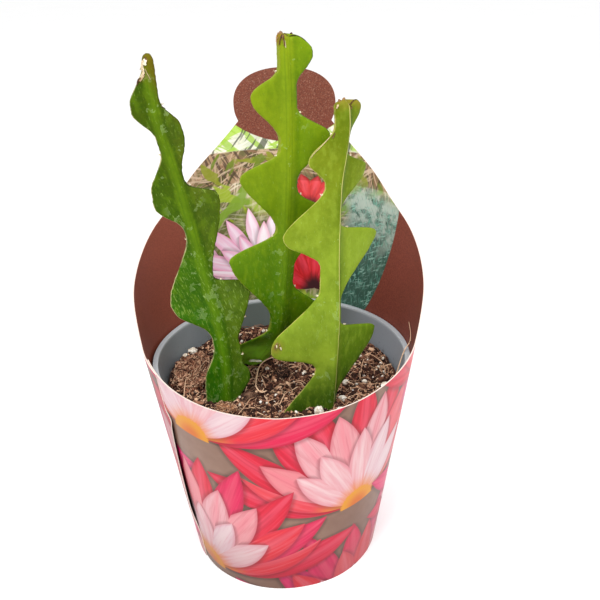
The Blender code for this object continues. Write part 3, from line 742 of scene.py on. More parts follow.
def loose_strand(luck, x, y, length, width, lift):
    """A coir strand that lies on the soil and curls a little."""
    heading, bend = luck.uniform(0, 2 * math.pi), luck.uniform(-0.5, 0.5)
    arch, tilt = luck.uniform(-0.2, 1.0) * lift, luck.uniform(-0.12, 0.12)
    points = []
    for index in range(STRAND_STEPS + 1):
        share = index / STRAND_STEPS
        points.append((x, y, soil_level(x, y) + 0.12 + arch * 4 * share * (1 - share) + tilt * (share - 0.5)
                       * length - (0.3 if share in (0, 1) else 0.0)))
        heading += bend * luck.uniform(0.3, 1.4)
        x, y = x + length / STRAND_STEPS * math.cos(heading), y + length / STRAND_STEPS * math.sin(heading)
        limit = SCATTER_RADIUS / max(SCATTER_RADIUS, math.hypot(x, y))
        x, y = x * limit, y * limit
    return strand([Vector(point) for point in points], width)


luck = random.Random(11)
strands, strand_tints = [], []
for _ in range(STRAND_COUNT):
    x, y = spread(luck, SCATTER_RADIUS)
    long = luck.random() < 0.12
    length = luck.uniform(8, 16) if long else luck.uniform(2.0, 7.5)
    strands.append(loose_strand(luck, x, y, length, luck.uniform(0.10, 0.27), 1.8 if long else 1.1))
    strand_tints.append(luck.betavariate(0.6, 0.55))
crumbs, crumb_tints = [], []
for _ in range(CRUMB_COUNT):
    x, y = spread(luck, SCATTER_RADIUS - 0.6)
    size = luck.uniform(0.35, 1.15) * (1.5 if luck.random() < 0.08 else 1.0)
    crumbs.append(crumb_on_soil(luck, x, y, size, size * luck.uniform(-0.2, 0.5), (0.6, 0.95), (0.5, 0.9)))
    crumb_tints.append(luck.betavariate(0.5, 1.1))
flakes, flake_tints = [], []
for _ in range(FLAKE_COUNT):
    x, y = spread(luck, SCATTER_RADIUS - 1.5)
    size = luck.uniform(0.9, 3.0)
    flakes.append(crumb_on_soil(luck, x, y, size, luck.uniform(0.1, 0.6), (0.25, 0.45), (0.1, 0.2), 0.5))
    flake_tints.append(luck.betavariate(0.7, 1.1))
whites, white_tints = [], []
for _ in range(WHITE_COUNT):
    x, y = spread(luck, SCATTER_RADIUS - 1.5)
    size = luck.uniform(0.4, 1.15)
    whites.append(crumb_on_soil(luck, x, y, size, size * luck.uniform(0.3, 0.9), (0.7, 1), (0.6, 0.9)))
    white_tints.append(luck.random())
# Fine grains of perlite in set places: x, y and half size
for x, y, size in ((34.3, 7.1, 1.0), (48.5, 15.4, 1.0), (45.5, 6.6, 1.1), (-7.3, 5.9, 1.1), (37.6, -4.6, 0.8),
                   (-3.5, 3.4, 0.9), (6.5, 3.2, 0.7), (9.6, 0.6, 0.8), (-2.7, -17.2, 1.0), (-9.6, -6.2, 0.7)):
    whites.append(crumb_on_soil(luck, x, y, size, size * 0.7, (0.75, 1), (0.7, 0.9)))
    white_tints.append(luck.random())


def smooth_path(places, count):
    """So many points of the smooth curve through some places."""
    knots = [(*place, k) for k, place in enumerate(places)]
    return [Vector(curve_through(knots, (len(knots) - 1) * k / (count - 1))) for k in range(count)]


def long_fibre(places, half_width, tint, taper=0.0):
    """Lay a long fibre through places as strands that overlap by half, and return its path."""
    path = smooth_path(places, 4 * STRAND_STEPS + 1)
    half_strand = STRAND_STEPS // 2
    for start in range(0, len(path) - STRAND_STEPS, half_strand):
        strands.append(strand(path[start:start + STRAND_STEPS + 1], half_width - taper * start / half_strand))
        strand_tints.append(tint)
    return path


# Long fibres and roots on top: half width, tint, places (x, y) and how far they stand off the soil in mm
FIBRES = [
    (0.20, 0.90, [(-9.9, -2.2), (-8.4, -7.4), (-7.5, -10.8)], 1.2),
    (0.26, 0.85, [(-12, -18.6), (-13.9, -23.2), (-15.8, -27), (-18.9, -32.1)], 1.6),
    (0.30, 0.90, [(4.4, -12.9), (1.3, -18.4), (-1.1, -25.3)], 1.4),
    (0.26, 0.92, [(-43.4, -0.1), (-43.5, -7.3), (-43.3, -15.6), (-43.3, -22.8)], 4.6),
    (0.30, 0.90, [(39, 13.4), (37.5, 4.4), (35.7, -5.1)], 1.4),
    (0.24, 0.82, [(43.9, -9.4), (38, -11.1), (33, -7.5)], 1.2),
    (0.24, 0.88, [(12, 6), (8, 10), (4, 11), (0, 9)], 2.2),
    (0.22, 0.86, [(-2, -8), (3, -9.5), (8, -7), (11, -9)], 1.4),
    (0.24, 0.84, [(40, 20), (44, 13), (47.5, 6), (48, -1)], 1.8),
    (0.20, 0.80, [(30, 14), (35, 10.5), (41, 9)], 1.2),
]
for half_width, tint, places, lift in FIBRES:
    route = []
    for x, y in places:
        raised = lift * (0.2 if (x, y) in (places[0], places[-1]) else 1)
        route.append((x, y, max(soil_level(x, y), SOIL_TOP) + 0.5 + raised))
    long_fibre(route, half_width, tint)
# A root that loops up in front of the middle cutting
ROOT_LOOP = [(-2.5, 3.0, 96.0), (-5.6, 3.0, 95.4), (-8.9, 2.5, 93.6), (-10.8, 1.0, 91.5), (-11.6, -5.0, 90.4),
             (-11.8, -12.0, 90.2), (-10.5, -16.3, 90.0), (-8.7, -17.4, 89.6), (-6.3, -15.1, 89.2)]
# A dry twig against the rim at the right, between the pot and the card
TWIG = [(52.0, -4.5, 87.5), (53.4, -3.6, 92), (54.9, -2.6, 97), (56.4, -1.8, 100.9), (57.8, -0.8, 102.6),
        (58.9, 0.2, 104.2), (59.3, 2.0, 107.2), (59.2, 5.0, 109.2), (59.0, 7.5, 110.8)]
long_fibre(ROOT_LOOP, 0.34, 1.35)
fork = long_fibre(TWIG, 0.34, 1.1, 0.025)[14]
side_twig = [fork + Vector((k * 0.05, -k * 0.5, k * 0.55)) for k in range(STRAND_STEPS + 1)]
strands.append(strand(side_twig, 0.16))
strand_tints.append(0.9)

debris_finish = Finish("coir_strands", Roughness=0.8, Specular_IOR_Level=0.3)
debris_tone = debris_finish.tag("tint", 2) * 0.9 + debris_finish.grain(900, 3.0) * 0.3 - 0.04
debris_finish.wear(Base_Color=earth_colour(debris_finish, debris_tone),
                   Normal=debris_finish.emboss(debris_finish.grain(3000, 3.0), 0.1, 0.5))
crumb_finish = Finish("soil_crumbs", Roughness=0.92, Specular_IOR_Level=0.25)
crumb_tone = crumb_finish.tag("tint", 2) * 0.85 + crumb_finish.grain(1600, 4.0) * 0.35 - 0.06
crumb_finish.wear(Base_Color=earth_colour(crumb_finish, crumb_tone),
                  Normal=crumb_finish.emboss(crumb_finish.grain(2400, 4.0), 0.3, 0.8))
perlite_finish = Finish("perlite_white", Roughness=0.9)
pores = perlite_finish.node("TexVoronoi", {}, Vector=perlite_finish.place(), Scale=2600.0)
perlite_colour = perlite_finish.mix(perlite_finish.grain(700, 4.0).rise(0.35, 0.7),
                                    srgb(206, 190, 168), srgb(250, 247, 240))
# The pores are darker with painted shade in their small hollows
perlite_colour = perlite_colour.painted(1 - pores.rise(0.1, 0.35), srgb(176, 158, 138))
perlite_finish.wear(Base_Color=perlite_colour, Normal=perlite_finish.emboss(pores, 0.12, 0.8))
# A white sliver that leans between the left and the middle cutting
sliver_path = [Vector((-16.0 + k * 1.12, 5.0 + 0.4 * math.sin(k / 2), 92.8 + 0.2 * math.sin(k)))
               for k in range(STRAND_STEPS + 1)]
sliver = strand(sliver_path, 1.0, 0.35)
for name, shapes, sides, tints, finish, slot in (
        ("white_sliver", [sliver], 8, [1.0], perlite_finish, "perlite"),
        ("loose_strands", strands, 3, strand_tints, debris_finish, "coir"),
        ("soil_crumbs", crumbs, 5, crumb_tints, crumb_finish, "soil"),
        ("bark_flakes", flakes, 5, flake_tints, crumb_finish, "bark"),
        ("fine_perlite", whites, 6, white_tints, perlite_finish, "perlite")):
    scattered = piece(name, cluster(shapes, sides, tints), finish)
    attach(scattered, "root")

# Clods and chips
# Lumps that broke off the cuttings' old root balls: two matted with tan coir, one of dark peat, and a chip
# of bark. They lie half sunk in the soil, with strands of coir matted over them.
LUMP_GRAIN = 1.7
# Middle (x, y), half sizes (x, y, z), turn, roughness, seed, and rise above the soil's level
LUMPS = {
    "coir_clod": ((-42.3, 2.0), (10.2, 14.5, 5.2), -6, 0.2, 3, 1.4),
    "small_clod": ((-24.8, -29.4), (4.8, 3.8, 3.2), 10, 0.2, 8, 1.6),
    "bark_chip": ((-13.8, -15.6), (8.4, 3.2, 2.4), 60, 0.12, 5, 0.5),
    "dark_clod": ((0.0, 1.0), (4.0, 4.0, 3.0), 0, 0.2, 12, 1.4),
}
# Relief of the fine mesh: sizes of its grain in mm, each with its depth in mm
LUMP_RELIEF = {"coir_clod": ((3.6, 1.8), (1.2, 0.9)), "small_clod": ((2.0, 0.9), (0.8, 0.4)),
               "bark_chip": ((2.4, 0.7), (0.7, 0.3)), "dark_clod": ((1.7, 0.7), (0.7, 0.35))}


def lump_point(lump, direction, relief, grow=0.0):
    """A point of a lump's skin in a direction from its middle."""
    (x, y), half, degrees, rough, seed, rise = lump
    swell = 1 + rough * noise.noise(direction * LUMP_GRAIN + Vector((seed, 0, 0)))
    point = Vector([direction[k] * (half[k] * swell + grow) for k in range(3)])
    for grain_size, depth in relief:
        pit = noise.noise(point / grain_size + Vector((0, seed, 0)))
        point += direction * depth * (pit - 0.25)
    point.rotate(Matrix.Rotation(math.radians(degrees), 3, "Z"))
    return point + Vector((x, y, SOIL_TOP + rise))


def lump_mesh(lump, relief, subdivisions):
    """A lump's fine mesh."""
    builder = bmesh.new()
    bmesh.ops.create_icosphere(builder, subdivisions=subdivisions, radius=1.0)
    for vertex in builder.verts:
        vertex.co = lump_point(lump, vertex.co.normalized(), relief) * MM
    bmesh.ops.recalc_face_normals(builder, faces=builder.faces)
    return builder


def clod_finish(name, dark, middle, light):
    """Matted coir or dark peat, in three browns."""
    finish = Finish(name, Roughness=0.95, Specular_IOR_Level=0.2)
    tone = finish.grain(330, 5.0, rough=0.75) * 1.6 + finish.grain(1700, 4.0, rough=0.7) * 0.8 - 0.69
    colour = finish.mix(tone.rise(0.30, 0.52), dark, middle)
    finish.wear(Base_Color=finish.mix(tone.rise(0.50, 0.72), colour, light),
                Normal=finish.emboss(finish.grain(1300, 5.0, rough=0.8), 0.6, 0.9))
    return finish


LUMP_FINISHES = {
    "coir_clod": clod_finish("coir_clod_fibre", srgb(46, 23, 15), srgb(152, 96, 72), srgb(228, 182, 150)),
    "small_clod": clod_finish("small_clod_fibre", srgb(70, 40, 26), srgb(170, 118, 84), srgb(224, 178, 138)),
    "bark_chip": clod_finish("bark_chip_skin", srgb(44, 28, 22), srgb(84, 60, 48), srgb(128, 98, 78)),
    "dark_clod": clod_finish("dark_clod_peat", srgb(26, 17, 14), srgb(48, 33, 27), srgb(84, 60, 48)),
}
luck = random.Random(23)
for name, lump in LUMPS.items():
    fine = piece(name + "_fine", lump_mesh(lump, LUMP_RELIEF[name], 7 if name == "coir_clod" else 6),
                 LUMP_FINISHES[name])
    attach(fine, "root")
    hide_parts(name)
# Strands matted into the lumps: how many, their lengths and widths, and how their tints spread
MATTING = {"coir_clod": (900, (1.6, 5.5), (0.09, 0.20), (1.0, 0.8)),
           "small_clod": (200, (1.2, 3.2), (0.07, 0.15), (1.0, 0.8)),
           "bark_chip": (40, (1.5, 4.5), (0.05, 0.1), (1.5, 2.4)),
           "dark_clod": (70, (1.2, 3.5), (0.05, 0.1), (1.5, 2.4))}
for name, (count, lengths, widths, tint_spread) in MATTING.items():
    lump, relief = LUMPS[name], LUMP_RELIEF[name]
    shapes, tints = [], []
    for _ in range(count):
        direction = Vector((luck.gauss(0, 1), luck.gauss(0, 1), abs(luck.gauss(0, 1)) + 0.1)).normalized()
        step = Vector([luck.uniform(-1, 1) for _ in range(3)]) * luck.uniform(*lengths)
        step = step / max(lump[1]) / STRAND_STEPS
        curl = Vector([luck.uniform(-1, 1) for _ in range(3)]) * 0.012
        rise = luck.uniform(0.05, 0.7)
        points = []
        for index in range(STRAND_STEPS + 1):
            share = index / STRAND_STEPS
            points.append(lump_point(lump, direction, relief, 0.25 + rise * 4 * share * (1 - share)))
            step += curl
            direction = (direction + step).normalized()
        shapes.append(strand(points, luck.uniform(*widths)))
        tints.append(luck.betavariate(*tint_spread))
    matted = piece(name + "_strands", cluster(shapes, 3, tints), debris_finish)
    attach(matted, "root")

# Perlite
# Eight grains of expanded volcanic glass, white and full of small pores, that lie on top of the soil.
PERLITE = {
    "perlite_1": ((16.0, -31.8), (2.0, 1.8, 2.4), 25, 0.16, 21, 1.7),
    "perlite_2": ((26.8, -21.0), (1.9, 1.6, 1.5), -15, 0.16, 22, 0.8),
    "perlite_3": ((25.0, -30.0), (2.2, 1.5, 1.3), 10, 0.16, 23, 0.8),
    "perlite_4": ((29.0, -7.5), (1.8, 1.5, 1.3), 60, 0.16, 24, 0.7),
    "perlite_5": ((37.6, -7.0), (1.4, 1.3, 1.2), 5, 0.16, 25, 0.6),
    "perlite_6": ((46.5, -11.0), (2.2, 1.6, 1.6), 40, 0.16, 26, 0.9),
    "perlite_7": ((-44.6, 24.6), (2.6, 2.0, 1.8), 30, 0.16, 27, 1.0),
    "perlite_8": ((-47.8, 20.2), (1.6, 1.4, 1.3), 80, 0.16, 28, 0.7),
}
PERLITE_RELIEF = ((1.3, 0.35), (0.5, 0.14))
for name, lump in PERLITE.items():
    grain_piece = piece(name + "_fine", lump_mesh(lump, PERLITE_RELIEF, 5), perlite_finish)
    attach(grain_piece, "root")
    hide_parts(name)

# Stems
# Three rooted cuttings of a cactus with flat, fleshy stems. Each is a rib with a thin wing on either side,
# whose rounded lobes alternate and make the stem zigzag. They are pushed some 25 mm into the soil.
RIB_HALF, RIB_SPREAD, WING_HALF = (2.8, 1.7), 3.2, 1.1
STEM_FOOT, STEM_RISE, STEM_FOOT_ROUND = 62.0, 150.0, 2.0
STATION_STEP, STEM_AROUND, LOBE_ROUND = 0.6, 64, 2.2
# Unevenness, each as a size and a grain: long waves of a wing's width, as a share of it, short nicks in its
# margin, a slight bow of the whole wing, and dimples of the skin
WIDTH_WAVE, MARGIN_NICK, WING_BOW, DIMPLES = (0.035, 0.22), (0.22, 0.8), (0.9, 21), ((0.10, 2.4), (0.05, 0.9))
# The rib is a curve of (x, y, z) points. A wing leaves it at an azimuth and an upward tilt, is floor wide
# in its notches, at the soil and at the top, and has lobes of (low end, low shoulder, high shoulder,
# high end, reach): heights on the rib, then the lobe's width. spread is how far the rib's swelling runs out
# on a wing. dent is where the tip has shrunk beside the rib: its place across, half width and depth.
LEFT_STEM = {
    "rib": [(-23, -21, 62), (-25, -20, 88), (-24.4, -19.3, 105), (-27, -18, 128),
            (-32, -17, 155), (-38, -15.5, 185), (-44.6, -14, 212), (-46.3, -13, 237)],
    "top": 236.0, "tip_round": 3.5, "seed": 3.0,
    "wings": [
        {"azimuth": 190, "tilt": -12, "floor": (3.8, 1.8),
         "lobes": [(78, 92, 102, 113, 8.8), (121, 134.5, 140.5, 164, 16.2),
                   (169, 178, 185, 198.5, 11.4), (206, 215, 220, 231, 8.6)]},
        {"azimuth": 14, "tilt": 14, "floor": (4.0, 2.4),
         "lobes": [(83, 94, 98, 108, 11.4), (92, 101, 112, 124, 7.9), (106, 135, 139.5, 143.5, 16.6),
                   (146, 174.5, 178.5, 184.5, 14.0), (190, 202, 208, 216.5, 8.4)]},
    ],
}
MIDDLE_STEM = {
    "rib": [(-19.4, 20, 62), (-13.0, 14.5, 87), (-7.4, 7.0, 99), (-1.2, -3, 114), (1.6, -8, 142),
            (4.2, -9, 175), (5.6, -7, 210), (5.4, -5, 243)],
    "top": 241.0, "tip_round": 1.6, "seed": 7.0, "dent": (1.7, 1.3, 1.0),
    "wings": [
        {"azimuth": 210, "tilt": 8, "floor": (5.0, 3.2),
         "lobes": [(85, 98, 102.5, 114, 19.2), (122, 149.5, 153, 161.5, 25.2),
                   (165, 185, 187, 195, 21.4), (202, 215, 218, 227, 15.8)]},
        {"azimuth": 6, "tilt": 0, "floor": (5.4, 3.8),
         "lobes": [(103, 121, 124, 137, 19.0), (148, 166, 170, 179, 20.0),
                   (186, 199, 203, 211.5, 17.8), (223, 231.5, 235.5, 241.5, 10.8)]},
    ],
}
RIGHT_STEM = {
    "rib": [(18.4, -27, 62), (20.2, -26, 87), (21.9, -25, 105), (23.1, -23.8, 126), (23.4, -22, 158),
            (24.4, -20.3, 184), (27.6, -19, 208), (27.0, -18.4, 222)],
    "top": 218.5, "tip_round": 1.6, "seed": 13.0, "dent": (2.3, 1.7, 2.0),
    "wings": [
        {"azimuth": 192, "tilt": -14, "floor": (8.0, 3.4),
         "lobes": [(72, 86, 91, 106, 20.8), (109.5, 121, 127, 142, 27.2), (155, 169.5, 173, 184, 21.4),
                   (188, 198.5, 201, 207.5, 13.6)]},
        {"azimuth": 40, "tilt": 0, "floor": (4.2, 1.6), "spread": 1.7,
         "lobes": [(93, 115, 118.5, 124.5, 25.0), (137, 160, 163, 167.5, 23.8), (176, 188, 192, 197, 15.0),
                   (205, 214.8, 217.2, 219.5, 9.0)]},
    ],
}


def flank(share):
    """Rise of a lobe's edge from its notch (0) to its shoulder (1)."""
    return 0.5 * share + 0.25 * (1 - math.cos(math.pi * share))


def tapered(pair, height):
    """A size given as (at the soil, at the top) for a height on the stem."""
    share = min(1.0, max(0.0, (height - SOIL_TOP) / STEM_RISE))
    return pair[0] + (pair[1] - pair[0]) * share


def sharp_reach(wing, height):
    """Width of a wing at a height on its rib, before its corners are rounded."""
    floor = tapered(wing["floor"], height)
    reach = floor
    for low, low_shoulder, high_shoulder, high, lobe in wing["lobes"]:
        if low < height < high:
            rise = min(1.0, (height - low) / (low_shoulder - low), (high - height) / (high - high_shoulder))
            reach = max(reach, floor + (lobe - floor) * flank(rise))
    return reach


def wing_reach(wing, height):
    """Width of a wing at a height on its rib, with rounded shoulders and notches."""
    return sum(share * sharp_reach(wing, height + shift * LOBE_ROUND) for shift, share in
               ((-1, 0.15), (-0.5, 0.22), (0, 0.26), (0.5, 0.22), (1, 0.15)))


def stem_point(stem, height, around):
    """A point of the stem's skin, and how far it is from the rib and from the margin. around runs from the
    front of the rib by the first wing's margin, the back of the rib and the second wing's margin."""
    x, y = curve_through(stem["rib"], height)
    rounding = 1.0
    tip = stem["tip_round"]
    if height > stem["top"] - tip:
        rounding = math.sqrt(max(0.0, 1 - ((height - stem["top"] + tip) / tip) ** 2))
    if height < STEM_FOOT + STEM_FOOT_ROUND:
        rounding = math.sqrt(max(0.0, 1 - ((STEM_FOOT + STEM_FOOT_ROUND - height) / STEM_FOOT_ROUND) ** 2))
    first, second = stem["wings"]
    wing = first if around <= 0.5 else second
    front = around < 0.25 or around > 0.75
    quarter = (around % 0.5) * 4
    out = math.sin(math.pi / 2 * (quarter if quarter <= 1 else 2 - quarter))
    sign = -1 if wing is first else 1
    full = wing_reach(wing, height)
    full *= 1 + WIDTH_WAVE[0] * noise.noise(Vector((height * WIDTH_WAVE[1], stem["seed"], sign)))
    full += MARGIN_NICK[0] * noise.noise(Vector((height * MARGIN_NICK[1], sign, stem["seed"])))
    reach = full * out * rounding
    rib = tapered(RIB_HALF, height)
    ridge = rib * math.exp(-(reach / wing.get("spread", RIB_SPREAD)) ** 2)
    half = (ridge + WING_HALF * math.sqrt(1 - out ** 4)) * rounding
    azimuth = math.radians(wing["azimuth"])
    other = math.radians((second if wing is first else first)["azimuth"])
    along = Vector((math.cos(azimuth), math.sin(azimuth), math.tan(math.radians(wing["tilt"]))))
    normal = Vector((math.sin(azimuth), -math.cos(azimuth), 0))
    normal *= 1 if normal.y < 0 else -1
    shared = Vector((math.sin(other), -math.cos(other), 0))
    shared *= 1 if shared.y < 0 else -1
    blend = min(1.0, reach / (2 * rib))
    normal = (normal + (shared - normal) * 0.5 * (1 - blend)).normalized()
    point = Vector((x, y, height)) + along * reach
    bow = WING_BOW[0] * noise.noise(point / WING_BOW[1] + Vector((stem["seed"], 0, 0))) * min(1.0, reach / 9)
    dimple = sum(depth * noise.noise(point / size) for depth, size in DIMPLES)
    half += dimple * (1 - out ** 6) * min(1.0, half)
    at, width, depth = stem.get("dent", (0.0, 1.0, 0.0))
    sunken = math.exp(-((reach * sign - at) / width) ** 2)
    point.z -= depth * sunken * ease(height, stem["top"] - 4, stem["top"])
    return point + normal * ((half if front else -half) + bow), (reach * sign, full - reach, height)


def stem_mesh(stem):
    """The whole stem as one closed skin, tagged with the places that its markings follow."""
    count = round((stem["top"] - STEM_FOOT) / STATION_STEP)

    def place(column, row):
        height = STEM_FOOT + (stem["top"] - STEM_FOOT) * row / count
        if row in (0, count):
            x, y = curve_through(stem["rib"], height)
            return (x, y, height), (0, 0, height)
        return stem_point(stem, height, (column % STEM_AROUND) / STEM_AROUND)

    return mapped_grid(STEM_AROUND, count, place, "skin")


def stem_finish(name, low, high, turn, shade, pale, foot, wing, margins, tip, fleck_at, rib, ridge, stains):
    """Waxy green skin with a rib that is paler partly in its own colour and partly with a painted highlight
    on its crest, dry margins with painted light and shade on them, pale corky flecks and a dried tip. The
    colour turns from low to high between the heights of turn, with shade and pale mottled over it; the colour
    shade also serves as painted shade in the grooves along the rib and to the right of the ridge. foot is a
    colour, its strength and the heights between which it ends: on the middle cutting it is painted light that
    lifts its shaded foot, on the right one painted shade. wing is the second wing's colour with its strength
    below and above; on the right cutting it is painted shade on the wing that turns away from the light.
    margins are the colours of the left and right one, paler on the left with painted light and darker on the
    right with painted shade. tip is a colour, the heights between which it sets in and its slope, fleck_at is
    the least tone that makes a fleck, rib is its half width, the strength of its paleness and highlight and
    how mottled the skin is, ridge is the place and strength of a crisp pale line beside it and of the painted
    shade to its right, and stains are (height, across, radius, strength)."""
    finish = Finish(name, Specular_IOR_Level=0.05, Subsurface_Weight=0.05, Subsurface_Radius=(0.3, 1.0, 0.1),
                    Subsurface_Scale=0.002)
    across, margin, height = finish.parts(finish.tag("skin"))
    blotch = finish.grain(55, 3.0)
    fine = finish.grain(620, 4.0, rough=0.65)
    vein = finish.grain(1.0, 4.0, where=finish.joined(across * 0.35, height * 0.16 - abs(across) * 0.10, 2.0))
    colour = finish.mix((height + blotch * 60 - 30).rise(*turn), low, high)
    # The second wing's tint: on the right cutting, painted shade on the wing that turns away from the light
    second_wing_tint_and_shade = (across + blotch * 4).rise(2.0, 7.0) * (wing[1] + height.rise(112, 150) * (wing[2] - wing[1]))
    colour = colour.painted(second_wing_tint_and_shade, wing[0])
    colour = colour.painted(blotch.rise(0.40, 0.68) * 0.4, shade)
    # Colour near the soil: painted light on the middle cutting's shaded foot, painted shade on the right
    # one's
    colour = colour.painted((1 - (height + blotch * 16).rise(*foot[2:])) * foot[1], foot[0])
    colour = colour.painted(vein.rise(0.46, 0.66) * 0.22, pale)
    colour = colour.painted(fine.rise(0.50, 0.70) * rib[2], shade)
    colour = colour.painted(fine.rise(0.48, 0.30) * 0.16, pale)
    # The rib is paler: partly its own colour, partly a painted highlight on its raised crest
    rib_paleness_and_highlight = (1 - abs(across).rise(rib[0] * 0.3, rib[0] * 1.2)) * (0.5 + vein)
    colour = colour.painted(rib_paleness_and_highlight * rib[1], pale)
    # Painted shade in thin lines along the rib's flanks and beside its crest
    groove_shade = (1 - abs(across - rib[0] * 1.15).rise(0.1, rib[0] * 0.5)) * (0.08 + fine * 0.3)
    crest_shade = (1 - abs(abs(across) - rib[0] * 0.4).rise(0.1, 0.55)) * (vein * 0.4)
    colour = colour.painted(groove_shade + crest_shade, shade)
    # Painted shade to the right of the ridge line
    beside = (across - ridge[0]).rise(0.0, 0.25) * (1 - (across - ridge[0]).rise(0.6, 5.0))
    colour = colour.painted(beside * ridge[1] * 0.7, shade)
    line = (1 - abs(across - ridge[0]).rise(0.10, 0.42)) * finish.grain(45, 2.0).rise(0.30, 0.55)
    colour = colour.painted(line * ridge[1], srgb(206, 196, 120))
    streak = finish.grain(1.0, 3.0, rough=0.65,
                          where=finish.joined(across * 1.5 + height * 0.25, height * 0.34, 7.0))
    crowd = finish.grain(42, 2.0) * 0.22 - height.rise(120, 225) * 0.05
    flecks = (streak + crowd).rise(fleck_at, fleck_at + 0.10)
    colour = colour.painted(flecks * 0.30, srgb(150, 176, 84))
    cork = finish.grain(230, 4.0, rough=0.6) + crowd - fleck_at
    cork = cork.rise(0.03, 0.08) * 0.16 + (1 - abs(cork - 0.04).rise(0.004, 0.022)) * 0.24
    cork = cork * (1 - abs(across).rise(4.0, 10.0)) * fine.rise(0.3, 0.5)
    colour = colour.painted(cork, srgb(166, 190, 124))
    for place, beside, radius, strength in stains:
        up, off = height - place, across - beside
        near = 1 - ((up * up + off * off) ** 0.5 + fine * 3).rise(radius * 0.4, radius + 1.5)
        colour = colour.painted(near * strength, srgb(122, 100, 40))
    # Dry margins, paler on the left with painted light and darker on the right with painted shade
    edge = 1 - (margin + fine * 0.5).rise(0.34, 0.70)
    colour = colour.painted(edge * finish.grain(170, 3.0).rise(0.30, 0.52) * 0.75,
                            finish.mix(across.rise(-1.0, 1.0), margins[0], margins[1]))
    dried = (height + across * tip[3] + finish.grain(240, 3.0) * 6 - 3).rise(tip[1], tip[2])
    colour = colour.painted(dried * 0.85, tip[0])
    finish.wear(Base_Color=colour, Roughness=0.36 + fine * 0.2 + flecks * 0.2 + dried * 0.2,
                Normal=finish.emboss(vein * 0.4 + fine * 0.5 + flecks * 0.4 + cork + line * 0.6, 0.25, 0.6))
    return finish


STEMS = (
    ("left_stem", LEFT_STEM, stem_finish(
        "left_skin", srgb(42, 92, 4), srgb(54, 72, 2), (96, 205), srgb(25, 60, 2), srgb(96, 126, 13),
        (srgb(40, 100, 16), 0.3, 98, 118), (srgb(84, 92, 24), 0.55, 0.45),
        (srgb(180, 170, 120), srgb(40, 48, 10)),
        (srgb(92, 78, 10), 220.0, 236.0, 2.2), 0.675, (2.4, 0.40, 0.30), (0.0, 0.0),
        [(228.5, -2.8, 3.0, 0.6)])),
    ("middle_stem", MIDDLE_STEM, stem_finish(
        "middle_skin", srgb(61, 103, 7), srgb(111, 129, 15), (110, 222), srgb(47, 83, 4), srgb(124, 146, 20),
        # Foot colour: painted light that lifts the shaded foot
        (srgb(150, 218, 58), 0.95, 104, 120), (srgb(88, 118, 6), 0.45, 0.65),
        (srgb(124, 132, 44), srgb(52, 62, 10)),
        (srgb(122, 84, 30), 238.6, 242.6, -0.9), 0.70, (3.4, 0.10, 0.14), (0.0, 0.0), [])),
    ("right_stem", RIGHT_STEM, stem_finish(
        "right_skin", srgb(120, 141, 37), srgb(93, 104, 7), (138, 214), srgb(68, 92, 9), srgb(138, 159, 51),
        # Foot and second-wing colours: painted shade
        (srgb(46, 76, 12), 0.9, 102, 122), (srgb(66, 96, 10), 0.80, 0.12),
        (srgb(170, 164, 86), srgb(84, 92, 20)),
        (srgb(132, 116, 40), 214.0, 221.0, 0.2), 0.71, (1.2, 0.0, 0.16), (0.7, 0.75),
        [(125.0, -25.4, 5.0, 0.55)])),
)
for name, stem, finish in STEMS:
    cutting = piece(name + "_flesh", stem_mesh(stem), finish)
    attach(cutting, "root")
    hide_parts(name)
    name + "_skin"

# Areoles and scars
# A woolly cushion with a few short bristles sits in every notch. The cut tips have dried to corky, ragged
# scars, and a few dry lines run over the skin. All of it grew on the cuttings, so it rides with them.
AREOLE_WOOL, AREOLE_BRISTLES, AREOLE_LEAST_HEIGHT = 9, 3, 96
SCAR_STRANDS = 4


def on_skin(stem, height, across, lift):
    """A point of a stem's front at a height and a distance across from the rib, lifted off the skin."""
    wing = stem["wings"][0 if across < 0 else 1]
    quarter = math.asin(min(1.0, abs(across) / wing_reach(wing, height))) / (2 * math.pi)
    point = stem_point(stem, height, quarter if across < 0 else 1 - quarter)[0]
    return point + Vector((0, -lift, lift / 3))


def nine_rings(rings):
    """A crumb's four rings as nine, as many as the strands of a scar have."""
    start, low, high, end = rings
    between = tuple((one + two) / 2 for one, two in zip(low, high))
    return [start, low, low, low, between, high, high, high, end]


# Tint, half width, and places as (height, distance across from the rib) on the skin
LEFT_SCARS = [
    (0.80, 0.75, [(234.2, -1.2), (233.2, -1.7), (231.6, -1.8), (230.2, -1.6), (228.9, -2.2), (227.8, -3.3)]),
    (0.62, 0.55, [(233.6, -1.7), (231.0, -2.0), (229.4, -1.5), (228.6, -1.9), (227.4, -3.0), (226.8, -3.9)]),
    (1.00, 0.70, [(234.3, -0.7), (233.8, -0.7), (233.0, -0.9), (232.2, -1.0)]),
    (0.22, 0.35, [(235.0, -0.8), (234.4, -0.2), (233.3, -0.1), (232.4, -0.5)]),
    (0.70, 0.22, [(231.2, -1.0), (229.6, -0.6), (228.0, 0.0), (226.5, 0.5)]),
    (0.15, 0.50, [(227.6, -4.2), (226.6, -4.4), (225.6, -4.8)]),
    (0.30, 0.40, [(228.2, -2.6), (227.6, -3.8), (227.0, -4.0), (226.9, -3.2)]),
    (0.12, 0.40, [(215.4, 3.0), (214.6, 4.0), (213.9, 4.6)]),
    (0.75, 0.16, [(215.9, 2.8), (215.0, 4.1), (214.2, 4.9)]),
]
MIDDLE_SCARS = [
    (0.30, 0.45, [(240.6, -1.9), (239.4, -1.6), (238.0, -1.3), (236.4, -1.1)]),
    (0.18, 0.50, [(240.8, -2.6), (239.4, -2.7), (238.0, -3.0), (236.6, -3.1)]),
    (0.55, 0.35, [(239.6, -3.2), (238.4, -3.4), (237.2, -3.4)]),
    (0.90, 0.20, [(238.6, -0.9), (237.2, -0.7), (235.8, -0.7)]),
    (0.20, 0.35, [(240.9, -1.4), (240.9, 0.2), (240.7, 1.8)]),
    (0.10, 0.28, [(240.8, 3.0), (240.2, 4.6), (239.2, 6.6), (237.6, 8.5)]),
]
